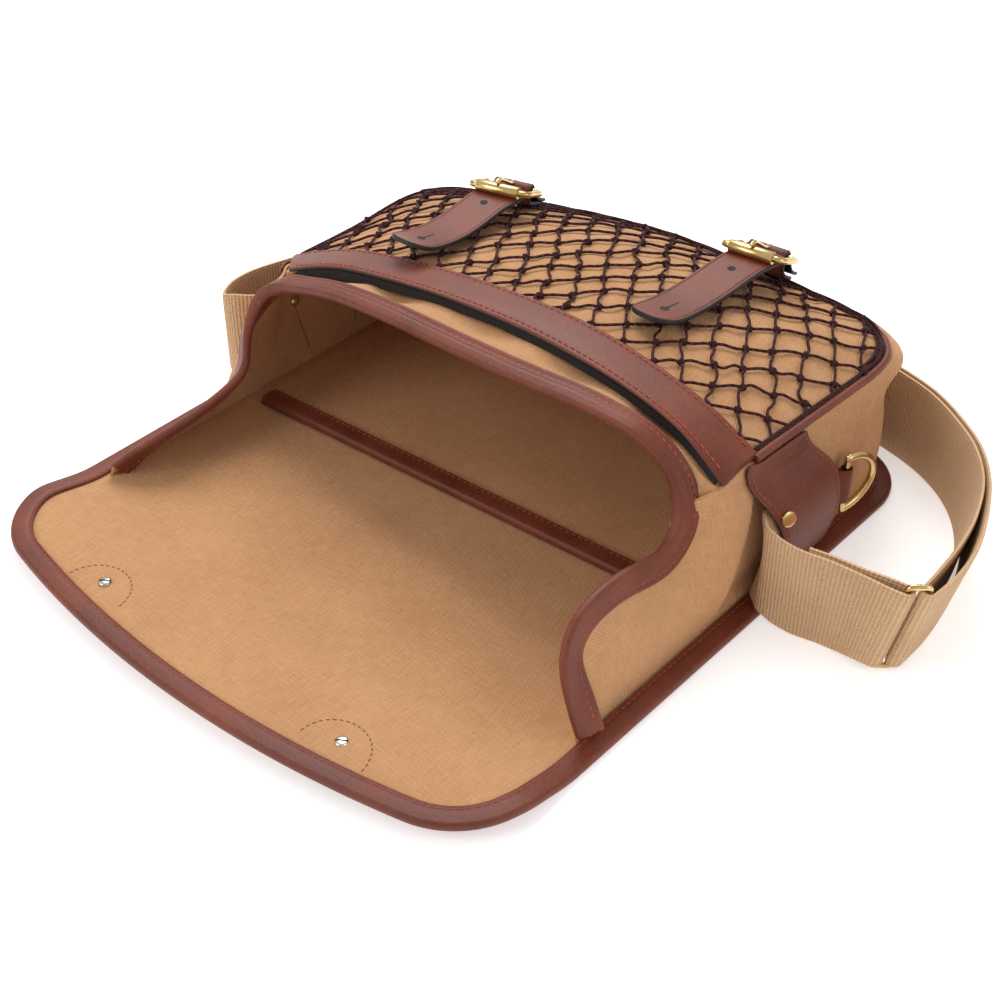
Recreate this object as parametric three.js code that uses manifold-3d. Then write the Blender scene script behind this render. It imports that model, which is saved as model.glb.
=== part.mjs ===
// Game bag lying open on its back: canvas body, leather bindings, net pocket and webbing strap.
// Millimetres. X runs across the bag, Y from the flap to the bottom of the bag, Z up.
// The origin is on the underside of the back panel, which rests on the ground.
import * as THREE from "three";
import { mergeVertices } from "three/addons/utils/BufferGeometryUtils.js";
import Module from "manifold-3d";

const { lerp, smoothstep, degToRad } = THREE.MathUtils;
const SIDES = { right: 1, left: -1 };

// Cloth, leather and the clearance between sewn layers
const CANVAS = 1.6;
const LEATHER = 1.3;
const GAP = 0.3;
const LOOSE_GAP = 1.2;
const TUBE_SIDES = 8;

// Back panel and flap, one sheet: outer edge of its binding
const SHEET_HALF = 163;
const SHEET_FAR = 138;
const FLAP_TIP = -226.7;
const FLAP_EDGE_RADIUS = 568;
const FLAP_CORNER = 46;
const FAR_CORNER = 36;
const BINDING_WIDTH = 11;
const RIM_WIDTH = 12;
const INNER_BINDING_WIDTH = 9;
// The studs hold the flap off the ground beyond these lines
const STUD_RISE = 6.5;
const RISE_START = -140;
const RISE_END = -182;
const STUD_X = 79;
const STUD_Y = -198.5;

// Front of the bag: half width at its edge, and the height of the filled front above the ground,
// across the bag at the given x and along it from the mouth to the bottom
const FRONT_HALF = { right: 148, left: 150 };
const FRONT_FAR = 138;
const FRONT_CORNER = 34;
const FRONT_X = [-150, -120, -85, -45, 0, 45, 85, 120, 148];
const FRONT_ROWS = [
  { y: -47, heights: [66, 79, 92, 98, 99.5, 100, 100, 90, 50] },
  { y: -36, heights: [70, 83, 95.8, 102, 103.6, 104, 104.5, 95.5, 58] },
  { y: -24, heights: [70.5, 83, 94.8, 101.2, 104, 105.2, 104, 96.2, 78.5] },
  { y: -10, heights: [71, 83, 93.5, 100, 104.5, 106.5, 103, 95.5, 83] },
  { y: 40, heights: [70, 84, 93, 99.5, 103, 104.5, 101.5, 93.5, 80.5] },
  { y: 90, heights: [71, 80, 88, 94, 98, 99, 97, 90, 77.5] },
  { y: 138, heights: [57, 62, 67.5, 75, 81, 81.5, 80.5, 79, 76] },
];
const FULLNESS_HALF = 150;
const FULLNESS_POWER = 2.4;
const RIM_Y = -39.5;
const RIM_BOW = 6.5;
const RIM_SPAN = 135;
// How far the sides draw in towards the mouth, and over which stretch
const MOUTH_NARROWING = {
  right: { by: 11, from: -20, to: RIM_Y },
  left: { by: 19, from: 0, to: -36 },
};
const PANEL_INSET = 2.4;
const CORNER_CUT = 7;
const CORNER_PINCH = 0.15;
const CORNER_AHEAD = 5;
const CORNER_BACK = 1;
const CORNER_RAISE = 2.6;
// Nicks under the rim that make room for its folded corners, from low to high
const GUSSET_NICKS = [
  { low: [134, -44.1, 63.4], high: [141, -41.4, 76] },
  { low: [-136, -43.8, 69], high: [-127, -41.2, 80] },
];
const PANEL_NICKS = [{ low: [129.6, -42, 78], high: [136, -33.4, 92] }];
const POCKET_INSET = 3.2;

// Gusset
const SEAM_INSET = 12;
const SEAM_HEIGHT = 3.5;
const SEAM_X = SHEET_HALF - SEAM_INSET;
const BULGE = 3;
const BULGE_EXTRA = 4;
const BULGE_Y = 10;
const BULGE_SPREAD = 60;
const PIPING_RADIUS = 2.6;
const PIPING_START = 4;
const PIPING_DROP = 0.7;
const SEAM_DROP = 0.2;

// Pocket band, net, tape
const BAND_MOUTH = -24;
const BAND_NET = 1.5;
const BAND_THICK = 2.6;
const POCKET_DEPTH = { side: 2.6, middle: 3.4 };
const MOUTH_LIFT = 3;
const LIFT_X = 0;
const LIFT_WIDTH = 90;
const LIFT_END = 30;
const NET_CORD = 1.8;
const NET_GAP = 1.1;
const BAND_GAP = 0.5;
const TAPE_THICK = 1.3;
const TAPE_BELOW = 0.1;
const TAPE_CLEAR = 1.9;
const DIP_AFTER_RIM = 0.5;
const DIP_BEFORE_BAND = 1;

// Strap webbing and brass
const WEB_WIDTH = 50;
const WEB_THICK = 2.4;
const RING_WIRE = 1.6;
const BUCKLE_STRAP = 25;
const D_WIRE = 2;
const D_BAR_HALF = 16;
const D_REACH = 21;
const D_SWING = { right: 13, left: 3 };
const LOOP_THICK = 1;
const LOOP_HALF = 10;
const LOOP_LEGS = [22, 13, 5.5];
const LOOP_OFF = 1.4;
const LEFT_TAB_SHIFT = -12;

const CANVAS_TAN = new THREE.MeshStandardMaterial({ color: 0xbf9a6b, roughness: 0.9 });
const LEATHER_BROWN = new THREE.MeshStandardMaterial({ color: 0x7a4234, roughness: 0.5 });
const WEBBING_SAND = new THREE.MeshStandardMaterial({ color: 0xcda97c, roughness: 0.9 });
const NET_BROWN = new THREE.MeshStandardMaterial({ color: 0x3a1c20, roughness: 0.8 });
const TAPE_BLACK = new THREE.MeshStandardMaterial({ color: 0x141312, roughness: 0.8 });
const BRASS = new THREE.MeshStandardMaterial({ color: 0xc9a050, roughness: 0.3, metalness: 1 });
const NICKEL = new THREE.MeshStandardMaterial({ color: 0xb9b2a6, roughness: 0.3, metalness: 1 });

const wasm = await Module();
wasm.setup();
const bag = new THREE.Group();

function add(name, geometry, material) {
  const mesh = new THREE.Mesh(geometry, material);
  mesh.name = name;
  bag.add(mesh);
}

function point(x, y, z) {
  return new THREE.Vector3(x, y, z);
}

// A closed surface from points and triangles, turned so that its faces point out.
function shell(points, index) {
  let volume = 0;
  for (let i = 0; i < index.length; i += 3) {
    const [a, b, c] = [points[index[i]], points[index[i + 1]], points[index[i + 2]]];
    volume += a.dot(b.clone().cross(c));
  }
  const faces = volume < 0 ? index.slice().reverse() : index;
  return new THREE.BufferGeometry().setFromPoints(points).setIndex(faces);
}

// A solid through a row of strip sections. A section lists one face of the strip and then the other
// face backwards, so that point k lies opposite point last - k.
function loft(sections, closed = false) {
  const count = sections[0].length;
  const index = [];
  const quad = (a, b, c, d) => index.push(a, b, c, a, c, d);
  const rows = closed ? sections.length : sections.length - 1;
  for (let i = 0; i < rows; i += 1) {
    const here = i * count;
    const next = ((i + 1) % sections.length) * count;
    for (let k = 0; k < count; k += 1) {
      const side = (k + 1) % count;
      quad(here + k, here + side, next + side, next + k);
    }
  }
  if (!closed) {
    const last = (sections.length - 1) * count;
    for (let k = 0; k < count / 2 - 1; k += 1) {
      const far = count - 1 - k;
      quad(far, far - 1, k + 1, k);
      quad(last + k, last + k + 1, last + far - 1, last + far);
    }
  }
  return shell(sections.flat(), index);
}

function strip(face, back) {
  return [...face, ...back.slice().reverse()];
}

// The manifold of a closed geometry, for cutting.
function solid(geometry) {
  const bare = geometry.clone();
  bare.deleteAttribute("normal");
  bare.deleteAttribute("uv");
  const merged = mergeVertices(bare, 1e-3);
  const vertProperties = new Float32Array(merged.attributes.position.array);
  const triVerts = new Uint32Array(merged.index.array);
  return new wasm.Manifold(new wasm.Mesh({ numProp: 3, vertProperties, triVerts }));
}

function cut(geometry, ...tools) {
  const body = tools.reduce((rest, tool) => rest.subtract(solid(tool)), solid(geometry));
  const { vertProperties, triVerts } = body.getMesh();
  return new THREE.BufferGeometry()
    .setAttribute("position", new THREE.BufferAttribute(vertProperties.slice(), 3))
    .setIndex(new THREE.BufferAttribute(triVerts.slice(), 1));
}

function boxes(corners) {
  return corners.map(({ low, high }) => {
    const room = new THREE.Box3(point(...low), point(...high));
    const [size, middle] = [room.getSize(point(0, 0, 0)), room.getCenter(point(0, 0, 0))];
    return new THREE.BoxGeometry(size.x, size.y, size.z).translate(middle.x, middle.y, middle.z);
  });
}

// A round bar along a curve through the given points, open at both ends.
function bar(points, radius, steps) {
  const circle = new THREE.Shape().absarc(0, 0, radius, 0, 2 * Math.PI);
  const extrudePath = new THREE.CatmullRomCurve3(points);
  const settings = { steps, extrudePath, curveSegments: TUBE_SIDES / 2, bevelEnabled: false };
  return new THREE.ExtrudeGeometry(circle, settings);
}

// A round bar bent into a closed loop that lies in the plane of the two directions.
function wireLoop(centre, across, along, outline, radius) {
  const normal = across.clone().cross(along).normalize();
  const at = ([a, b]) => centre.clone().addScaledVector(across, a).addScaledVector(along, b);
  const sections = outline.map((here, i) => {
    const before = at(outline[(i + outline.length - 1) % outline.length]);
    const after = at(outline[(i + 1) % outline.length]);
    const sideways = after.sub(before).cross(normal).normalize();
    return Array.from({ length: TUBE_SIDES }, (_, k) => {
      const angle = (2 * Math.PI * k) / TUBE_SIDES;
      return at(here)
        .addScaledVector(sideways, radius * Math.cos(angle))
        .addScaledVector(normal, radius * Math.sin(angle));
    });
  });
  return loft(sections, true);
}

// Corner points of a rectangle with round corners, counted from its middle.
function roundRectangle(halfA, halfB, corner, steps) {
  const outline = [];
  for (const [signA, signB, start] of [[1, 1, 0], [-1, 1, 90], [-1, -1, 180], [1, -1, 270]]) {
    for (let k = 0; k <= steps; k += 1) {
      const angle = degToRad(start + (90 * k) / steps);
      const a = signA * (halfA - corner) + corner * Math.cos(angle);
      outline.push([a, signB * (halfB - corner) + corner * Math.sin(angle)]);
    }
  }
  return outline;
}

// A flat ribbon of leather along points of a plane x = centre, with a width for each point.
function ribbon(centre, rows, thickness) {
  const middle = rows.map(({ y, z }) => point(0, y, z));
  const sections = rows.map(({ y, z, half, slide = 0 }, i) => {
    const ahead = middle[Math.min(i + 1, rows.length - 1)];
    const behind = middle[Math.max(i - 1, 0)];
    const along = ahead.clone().sub(behind).normalize();
    const [ny, nz] = [(-along.z * thickness) / 2, (along.y * thickness) / 2];
    const [low, high] = [centre + slide - half, centre + slide + half];
    const face = [point(low, y + ny, z + nz), point(high, y + ny, z + nz)];
    return strip(face, [point(low, y - ny, z - nz), point(high, y - ny, z - nz)]);
  });
  return loft(sections);
}

// Sheet outline

const FRONT_CENTRE_Y = FLAP_TIP + FLAP_EDGE_RADIUS;
const FLAP_CORNER_X = SHEET_HALF - FLAP_CORNER;
const FLAP_CORNER_TURN = Math.asin(FLAP_CORNER_X / (FLAP_EDGE_RADIUS - FLAP_CORNER));
const FLAP_CORNER_Y = FRONT_CENTRE_Y - (FLAP_EDGE_RADIUS - FLAP_CORNER) * Math.cos(FLAP_CORNER_TURN);
const FAR_CORNER_X = SHEET_HALF - FAR_CORNER;
const FAR_CORNER_Y = SHEET_FAR - FAR_CORNER;

function circleHalf(radius, offset) {
  return Math.sqrt(Math.max(radius * radius - offset * offset, 0));
}

// Half width of the sheet at y, measured inset from the outer edge.
function halfWidth(y, inset) {
  if (y > FAR_CORNER_Y) return FAR_CORNER_X + circleHalf(FAR_CORNER - inset, y - FAR_CORNER_Y);
  if (y >= FLAP_CORNER_Y) return SHEET_HALF - inset;
  const edge = FLAP_EDGE_RADIUS - inset;
  if (y > FRONT_CENTRE_Y - edge * Math.cos(FLAP_CORNER_TURN)) {
    return FLAP_CORNER_X + circleHalf(FLAP_CORNER - inset, y - FLAP_CORNER_Y);
  }
  return circleHalf(edge, y - FRONT_CENTRE_Y);
}

function flapRise(y) {
  return STUD_RISE * smoothstep(RISE_START - y, 0, RISE_START - RISE_END);
}

// Underside of the sheet: carried by the binding near the edge, on the ground in the middle.
const EDGE_LIFT = LEATHER + GAP;
const LIFTED_TO = 14;
const SETTLED_FROM = 32;
const FLAP_FOLD = [-140, -110];

function sheetUnder(x, y) {
  const across = Math.abs(x);
  let distance = Math.min(SHEET_HALF - across, SHEET_FAR - y);
  if (across > FAR_CORNER_X && y > FAR_CORNER_Y) {
    distance = FAR_CORNER - Math.hypot(across - FAR_CORNER_X, y - FAR_CORNER_Y);
  }
  const settled = smoothstep(distance, LIFTED_TO, SETTLED_FROM) * smoothstep(y, ...FLAP_FOLD);
  return EDGE_LIFT * (1 - settled) + flapRise(y);
}

// A U-shaped leather binding round the edge of a cloth: edge is the middle of the cloth's edge,
// inward points into the cloth and normal out of its face.
function bindingSection(edge, inward, normal, { width, cloth = CANVAS, leather = LEATHER, gap = GAP }) {
  const slot = cloth / 2 + gap;
  const outside = slot + leather;
  const end = gap + leather;
  const round = 0.7 * leather;
  const small = 0.3 * gap;
  const at = ([a, b]) => edge.clone().addScaledVector(inward, a).addScaledVector(normal, b);
  const outer = [[width, outside], [round - end, outside], [-end, outside - round]];
  const inner = [[width, slot], [small - gap, slot], [-gap, slot - small]];
  const mirrored = (half) => [...half, ...half.slice().reverse().map(([a, b]) => [a, -b])];
  return strip(mirrored(outer).map(at), mirrored(inner).map(at));
}

function arc(from, to, steps) {
  return Array.from({ length: steps + 1 }, (_, k) => lerp(from, to, k / steps));
}

// Stations round the right half of the outer edge, each with its outward direction.
function rightOutline() {
  const stations = [0, 0.5].map((part) => ({ x: part * FAR_CORNER_X, y: SHEET_FAR, turn: Math.PI / 2 }));
  for (const turn of arc(Math.PI / 2, 0, 6)) {
    const x = FAR_CORNER_X + FAR_CORNER * Math.cos(turn);
    stations.push({ x, y: FAR_CORNER_Y + FAR_CORNER * Math.sin(turn), turn });
  }
  for (const y of [75, 40, 0, -40, -80, -115, ...arc(RISE_START, -161, 3)]) {
    stations.push({ x: SHEET_HALF, y, turn: 0 });
  }
  for (const turn of arc(0, FLAP_CORNER_TURN - Math.PI / 2, 7)) {
    const x = FLAP_CORNER_X + FLAP_CORNER * Math.cos(turn);
    stations.push({ x, y: FLAP_CORNER_Y + FLAP_CORNER * Math.sin(turn), turn });
  }
  for (const swing of arc(FLAP_CORNER_TURN, 0, 5).slice(1)) {
    const x = FLAP_EDGE_RADIUS * Math.sin(swing);
    stations.push({ x, y: FRONT_CENTRE_Y - FLAP_EDGE_RADIUS * Math.cos(swing), turn: swing - Math.PI / 2 });
  }
  return stations;
}

function buildSheet() {
  const rows = [FLAP_TIP + EDGE_LIFT + 0.4, -221, -214, -206, -197, -189, RISE_END, -175, -168];
  rows.push(-161, -154, -147, RISE_START, -125, -110, -75, -40, -10, 20, 50, 80, 106, 124, 131);
  rows.push(SHEET_FAR - EDGE_LIFT);
  const sections = rows.map((y) => {
    const half = halfWidth(y, EDGE_LIFT);
    const seam = Math.max(half - LIFTED_TO, 0.8 * half);
    const flat = Math.max(half - SETTLED_FROM, 0.5 * half);
    const columns = [-half, -seam, -flat, -flat / 2, 0, flat / 2, flat, seam, half];
    const under = columns.map((x) => point(x, y, sheetUnder(x, y)));
    return strip(under, under.map((p) => p.clone().setZ(p.z + CANVAS)));
  });
  add("back_and_flap", loft(sections), CANVAS_TAN);

  const right = rightOutline();
  const left = right.slice(1, -1).reverse();
  const stations = [...right, ...left.map(({ x, y, turn }) => ({ x: -x, y, turn: Math.PI - turn }))];
  const binding = stations.map(({ x, y, turn }) => {
    const inward = point(-Math.cos(turn), -Math.sin(turn), 0);
    const edge = point(x, y, EDGE_LIFT + CANVAS / 2 + flapRise(y)).addScaledVector(inward, EDGE_LIFT);
    return bindingSection(edge, inward, point(0, 0, 1), { width: BINDING_WIDTH - EDGE_LIFT });
  });
  add("edge_binding", loft(binding, true), LEATHER_BROWN);
}

// Front of the bag

// How full the bag is at x: nothing at its sides, one in the middle.
function fullness(x) {
  return Math.max(1 - Math.abs(x / FULLNESS_HALF) ** FULLNESS_POWER, 0);
}

// A smooth curve through the values at the nodes.
function curveThrough(nodes, values, at) {
  const last = nodes.length - 1;
  const inside = Math.min(Math.max(at, nodes[0]), nodes[last]);
  const i = Math.max(nodes.findIndex((node) => node >= inside), 1) - 1;
  const slope = (k) => {
    const [a, b] = [Math.max(k - 1, 0), Math.min(k + 1, last)];
    return (values[b] - values[a]) / (nodes[b] - nodes[a]);
  };
  const span = nodes[i + 1] - nodes[i];
  const t = (inside - nodes[i]) / span;
  const ease = t * t * (3 - 2 * t);
  const bend = t * (1 - t) * span * (slope(i) * (1 - t) - slope(i + 1) * t);
  return lerp(values[i], values[i + 1], ease) + bend;
}

// Height of the front at (x, y).
function front(x, y) {
  const across = FRONT_ROWS.map(({ heights }) => curveThrough(FRONT_X, heights, x));
  return curveThrough(FRONT_ROWS.map((row) => row.y), across, y);
}

function rimY(x) {
  return RIM_Y - RIM_BOW * (1 - (x / RIM_SPAN) ** 2);
}

// The side edge of the front at y: it draws in at the mouth and rounds the far corners.
function frontEdge(side, y, inset = 0) {
  const farY = FRONT_FAR - FRONT_CORNER;
  if (y > farY) {
    return SIDES[side] * (FRONT_HALF[side] - FRONT_CORNER + circleHalf(FRONT_CORNER - inset, y - farY));
  }
  const { by, from, to } = MOUTH_NARROWING[side];
  return SIDES[side] * (FRONT_HALF[side] - inset - by * smoothstep(-y, -from, -to));
}

// The pocket's outer panel stands up a little along its mouth.
function pocketTop(x, y) {
  const lift = MOUTH_LIFT * Math.exp(-(((x - LIFT_X) / LIFT_WIDTH) ** 2));
  return front(x, y) + lift * (1 - smoothstep(y, BAND_MOUTH, LIFT_END)) * fullness(x);
}

function pocketDepth(x) {
  return POCKET_DEPTH.side + POCKET_DEPTH.middle * fullness(x);
}

// The inner panel dips under the pocket behind the rim binding.
function frontPanelTop(x, y) {
  const dip = smoothstep(y, rimY(x) + RIM_WIDTH + DIP_AFTER_RIM, BAND_MOUTH - DIP_BEFORE_BAND);
  return front(x, y) - pocketDepth(x) * dip;
}

const SIDE_ROWS = [-24, -10, PIPING_START, 16, 30, 46, 62, 82, 100];
const PANEL_COLUMNS = arc(-1, 1, 12);
const FAR_ROWS = [50, 70, 90, 104, 116, 126, 132];
const POCKET_EDGE = BAND_MOUTH + 2.2;
const POCKET_ROWS = [POCKET_EDGE, -16, -8, BAND_NET, 12, 22, LIFT_END + 2];

function acrossFront(y, inset) {
  const [low, high] = [frontEdge("left", y, inset), frontEdge("right", y, inset)];
  return PANEL_COLUMNS.map((part) => lerp(low, high, (part + 1) / 2));
}

// A layer of cloth over the front: rows at the given y, from height to height + thickness.
function frontLayer(rows, inset, height, thickness) {
  const sections = rows.map((y) => {
    const under = acrossFront(y, inset).map((x) => point(x, y, height(x, y)));
    return strip(under, under.map((p) => p.clone().setZ(p.z + thickness)));
  });
  return loft(sections);
}

function frontPanelRow(offset) {
  const cutBack = CORNER_CUT * (1 - smoothstep(offset, 0, RIM_WIDTH));
  return acrossFront(RIM_Y + offset, PANEL_INSET + cutBack).map((x) => {
    const y = rimY(x) + offset;
    return point(x, y, frontPanelTop(x, y));
  });
}

function buildFront() {
  const rimRows = [0, RIM_WIDTH + DIP_AFTER_RIM, RIM_WIDTH + 3].map(frontPanelRow);
  const farRows = [-23, ...SIDE_ROWS.slice(1, 5), ...FAR_ROWS, FRONT_FAR - PANEL_INSET - 1].map((y) =>
    acrossFront(y, PANEL_INSET).map((x) => point(x, y, frontPanelTop(x, y))),
  );
  const panel = [...rimRows, ...farRows].map((row) =>
    strip(row, row.map((p) => p.clone().setZ(p.z - CANVAS))),
  );
  add("front_panel", cut(loft(panel), ...boxes(PANEL_NICKS)), CANVAS_TAN);

  const pocketRows = [...POCKET_ROWS, ...FAR_ROWS, FRONT_FAR - POCKET_INSET - 0.2];
  const under = (x, y) => pocketTop(x, y) - CANVAS;
  add("pocket_panel", frontLayer(pocketRows, POCKET_INSET, under, CANVAS), CANVAS_TAN);

  const onPocket = (gap) => (x, y) => pocketTop(x, y) + gap;
  const bandRows = [BAND_MOUTH, ...POCKET_ROWS.slice(0, 4)];
  add("pocket_band", frontLayer(bandRows, POCKET_INSET, onPocket(BAND_GAP), BAND_THICK), LEATHER_BROWN);
  const netRows = [BAND_NET + 1, ...POCKET_ROWS.slice(4), ...FAR_ROWS];
  add("net", frontLayer(netRows, POCKET_INSET, onPocket(NET_GAP), NET_CORD), NET_BROWN);

  const tapeBack = POCKET_EDGE - BAND_GAP;
  const tape = acrossFront(tapeBack, POCKET_INSET + 1).map((x) => {
    const height = pocketDepth(x) - TAPE_CLEAR;
    const edge = (y) => {
      const top = pocketTop(x, y) - TAPE_BELOW;
      return [point(x, y, top - height), point(x, y, top)];
    };
    return strip(edge(tapeBack - TAPE_THICK), edge(tapeBack));
  });
  add("pocket_mouth_tape", loft(tape), TAPE_BLACK);
}

// Gusset

// The free edges of the wings, from the flap to the corner of the mouth: where the wing is sewn to
// the sheet, and where its free edge stands above that.
const WINGS = {
  right: [
    { seamY: -127, x: 150.5, y: -130.5, z: 11.5 },
    { seamY: -124, x: 149, y: -131, z: 19.5 },
    { seamY: -117, x: 145.5, y: -131, z: 39.5 },
    { seamY: -111, x: 142.5, y: -127, z: 50.5 },
    { seamY: -105, x: 140.5, y: -118.5, z: 60 },
    { seamY: -97, x: 139.5, y: -106, z: 63.8 },
    { seamY: -84, x: 139, y: -86, z: 63.7 },
    { seamY: -71, x: 139.2, y: -71, z: 60.5 },
    { seamY: -58, x: 139.5, y: -58, z: 58 },
    { seamY: -51, x: 139.2, y: -51, z: 59 },
  ],
  left: [
    { seamY: -138, x: -148, y: -138, z: 10 },
    { seamY: -127, x: -137, y: -127, z: 21 },
    { seamY: -112, x: -129, y: -111, z: 28 },
    { seamY: -97, x: -126.5, y: -95, z: 32 },
    { seamY: -80, x: -125.5, y: -78, z: 36 },
    { seamY: -66, x: -126, y: -63, z: 41.5 },
    { seamY: -58, x: -131, y: -56, z: 54 },
    { seamY: -52, x: -132, y: -51, z: 65 },
  ],
};
const STRAIGHT_TOP = 9.5;
// Wings lower than this stand straight; those above the second height swell like the side
const FREE_HEIGHT = 8;
const FULL_HEIGHT = 55;

function bulgeAt(y) {
  return BULGE + BULGE_EXTRA * Math.exp(-(((y - BULGE_Y) / BULGE_SPREAD) ** 2));
}

function seamTop(x, y) {
  return point(x, y, front(x, y));
}

// Stations of one side from the flap to the far corner, each with seam, top and outward direction.
function sideStations(side) {
  const out = point(SIDES[side], 0, 0);
  const seam = (y) => point(SIDES[side] * SEAM_X, y, SEAM_HEIGHT);
  const wing = WINGS[side].map(({ seamY, x, y, z }) => ({
    seam: seam(seamY), top: point(x, y, z), out, bulge: bulgeAt(seamY), free: true,
  }));
  const cornerX = frontEdge(side, RIM_Y);
  const cornerTop = seamTop(cornerX, RIM_Y - CORNER_AHEAD);
  const corner = { seam: seam(RIM_Y - CORNER_AHEAD), top: cornerTop, out, bulge: bulgeAt(RIM_Y), free: true };
  const body = SIDE_ROWS.map((y) => ({
    seam: seam(y), top: seamTop(frontEdge(side, y), y), out, bulge: bulgeAt(y), piped: y >= PIPING_START,
  }));
  return [...wing, corner, ...body];
}

function cornerStations(side) {
  const [seamX, topX] = [FAR_CORNER_X, FRONT_HALF[side] - FRONT_CORNER];
  return [18, 36, 54, 72, 90].map((degrees) => {
    const out = point(SIDES[side] * Math.cos(degToRad(degrees)), Math.sin(degToRad(degrees)), 0);
    const seam = point(SIDES[side] * seamX, FAR_CORNER_Y, SEAM_HEIGHT);
    const top = point(SIDES[side] * topX, FRONT_FAR - FRONT_CORNER, 0);
    seam.addScaledVector(out, FAR_CORNER - SEAM_INSET);
    top.addScaledVector(out, FRONT_CORNER);
    return { seam, top: seamTop(top.x, top.y), out, bulge: BULGE, piped: true };
  });
}

function gussetStations() {
  const bottom = [0.6, 0.2, -0.2, -0.6].map((part) => ({
    seam: point(part * FAR_CORNER_X, SHEET_FAR - SEAM_INSET, SEAM_HEIGHT),
    top: seamTop(part * (FRONT_HALF.right - FRONT_CORNER), FRONT_FAR),
    out: point(0, 1, 0), bulge: BULGE, piped: true,
  }));
  const right = [...sideStations("right"), ...cornerStations("right")];
  const left = [...cornerStations("left").reverse(), ...sideStations("left").reverse()];
  return [...right, ...bottom, ...left];
}

// The outer face of the gusset at one station: bulged below, straight for the last stretch.
function gussetFace({ seam, top, out, bulge, free, piped }) {
  const drop = piped ? PIPING_RADIUS + PIPING_DROP : SEAM_DROP;
  const crest = free ? top : top.clone().setZ(top.z - drop);
  const straightTop = free ? RIM_WIDTH + 1 : STRAIGHT_TOP;
  const straight = Math.max(1 - straightTop / seam.distanceTo(crest), 0.3);
  const swell = bulge * smoothstep(crest.z, FREE_HEIGHT, FULL_HEIGHT);
  const face = arc(0, 1, 5).map((part) =>
    seam.clone().lerp(crest, part * straight).addScaledVector(out, swell * Math.sin(Math.PI * part)),
  );
  return [...face, crest];
}

function buildGusset() {
  const stations = gussetStations();
  const sections = stations.map((station) => {
    const face = gussetFace(station);
    return strip(face, face.map((p) => p.clone().addScaledVector(station.out, -CANVAS)));
  });
  add("gusset", cut(loft(sections), ...boxes(GUSSET_NICKS)), CANVAS_TAN);

  const piped = stations.filter((station) => station.piped).map((station) => station.top);
  add("pocket_piping", bar(piped, PIPING_RADIUS, 44), LEATHER_BROWN);
}

// Sections of the rim binding up one wing, from the flap to the corner of the mouth.
function wingRim(side) {
  const stations = sideStations(side).filter((station) => station.free);
  const last = stations.length - 1;
  return stations.map((station, i) => {
    const face = gussetFace(station);
    const inward = face[face.length - 2].clone().sub(station.top).normalize();
    const room = (station.top.z - SEAM_HEIGHT - 2.2) / Math.max(-inward.z, 0.2);
    const raise = i === last ? CORNER_RAISE : 0;
    const edge = station.top.clone().addScaledVector(station.out, -CANVAS / 2);
    edge.addScaledVector(inward, -raise);
    const normal = station.out.clone().addScaledVector(inward, -inward.dot(station.out)).normalize();
    return { edge, inward, normal, width: Math.min(RIM_WIDTH, room) };
  });
}

// Sections of the rim binding along the front of the mouth, from left to right.
function frontRim() {
  return frontPanelRow(0).map((edge) => {
    const rise = front(edge.x, edge.y + RIM_WIDTH) - front(edge.x, edge.y);
    const inward = point(0, RIM_WIDTH, rise).normalize();
    const slope = front(edge.x + 1, edge.y) - front(edge.x, edge.y);
    const normal = point(1, 0, slope).cross(inward).normalize();
    return { edge: edge.clone().addScaledVector(normal, -CANVAS / 2), inward, normal, width: RIM_WIDTH };
  });
}

// The binding is folded tight where it turns the corner of the mouth.
function cornerRim(wing, along) {
  return {
    edge: wing.edge.clone().lerp(along.edge, 0.5).add(point(0, CORNER_BACK, 0)),
    inward: wing.inward.clone().add(along.inward).normalize(),
    normal: wing.normal.clone().add(along.normal).normalize(),
    width: CORNER_PINCH * RIM_WIDTH,
  };
}

function buildRim() {
  const [left, right, along] = [wingRim("left"), wingRim("right").reverse(), frontRim()];
  const leftCorner = cornerRim(left[left.length - 1], along[0]);
  const rightCorner = cornerRim(right[0], along[along.length - 1]);
  const sections = [...left, leftCorner, ...along, rightCorner, ...right].map(
    ({ edge, inward, normal, width }) => bindingSection(edge, inward, normal, { width, gap: LOOSE_GAP }),
  );
  add("mouth_rim", loft(sections), LEATHER_BROWN);
}

// Side tabs, rivets and D-rings

const TAB_THICK = 2.2;
const TAB_BELOW_PIPING = 1.2;
const TAB_MIDDLE = 25;
const TAB_SEWN = 0.9;
const TAB_OFF = 3.1;
const TAB_ROWS = [
  { z: 6.5, mouth: 15, far: 55 },
  { z: 20, mouth: 13.5, far: 60.8 },
  { z: 34, mouth: 10.5, far: 61.2 },
  { z: 48, mouth: 5, far: 58.5 },
  { z: 58, mouth: -0.8, far: 52.5 },
  { z: 68, mouth: -7, far: 42 },
  { z: 76, mouth: -10, far: 34 },
];
const RIVETS = { right: { y: 11, z: 46 }, left: { y: -1, z: 45 } };
const RIVET_RADIUS = 4;
const RIVET_HEAD = 1;
const RIVET_DOME = [[0, 0], [3.2, 0], [2.6, 1.2], [0, 1.8]];
const RIVET_GAP = 1.3;
const INSIDE_GAP = 1.8;
const D_BAR = { out: 4.3, y: 67, z: 34.5 };

function tabShift(side) {
  return side === "left" ? LEFT_TAB_SHIFT : 0;
}

// Height of the gusset's top edge at y, under the piping where there is one.
function sideCrest(side, y) {
  const piped = smoothstep(y, SIDE_ROWS[1], PIPING_START);
  return front(frontEdge(side, y), y) - lerp(SEAM_DROP, PIPING_RADIUS + PIPING_DROP, piped);
}

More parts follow.
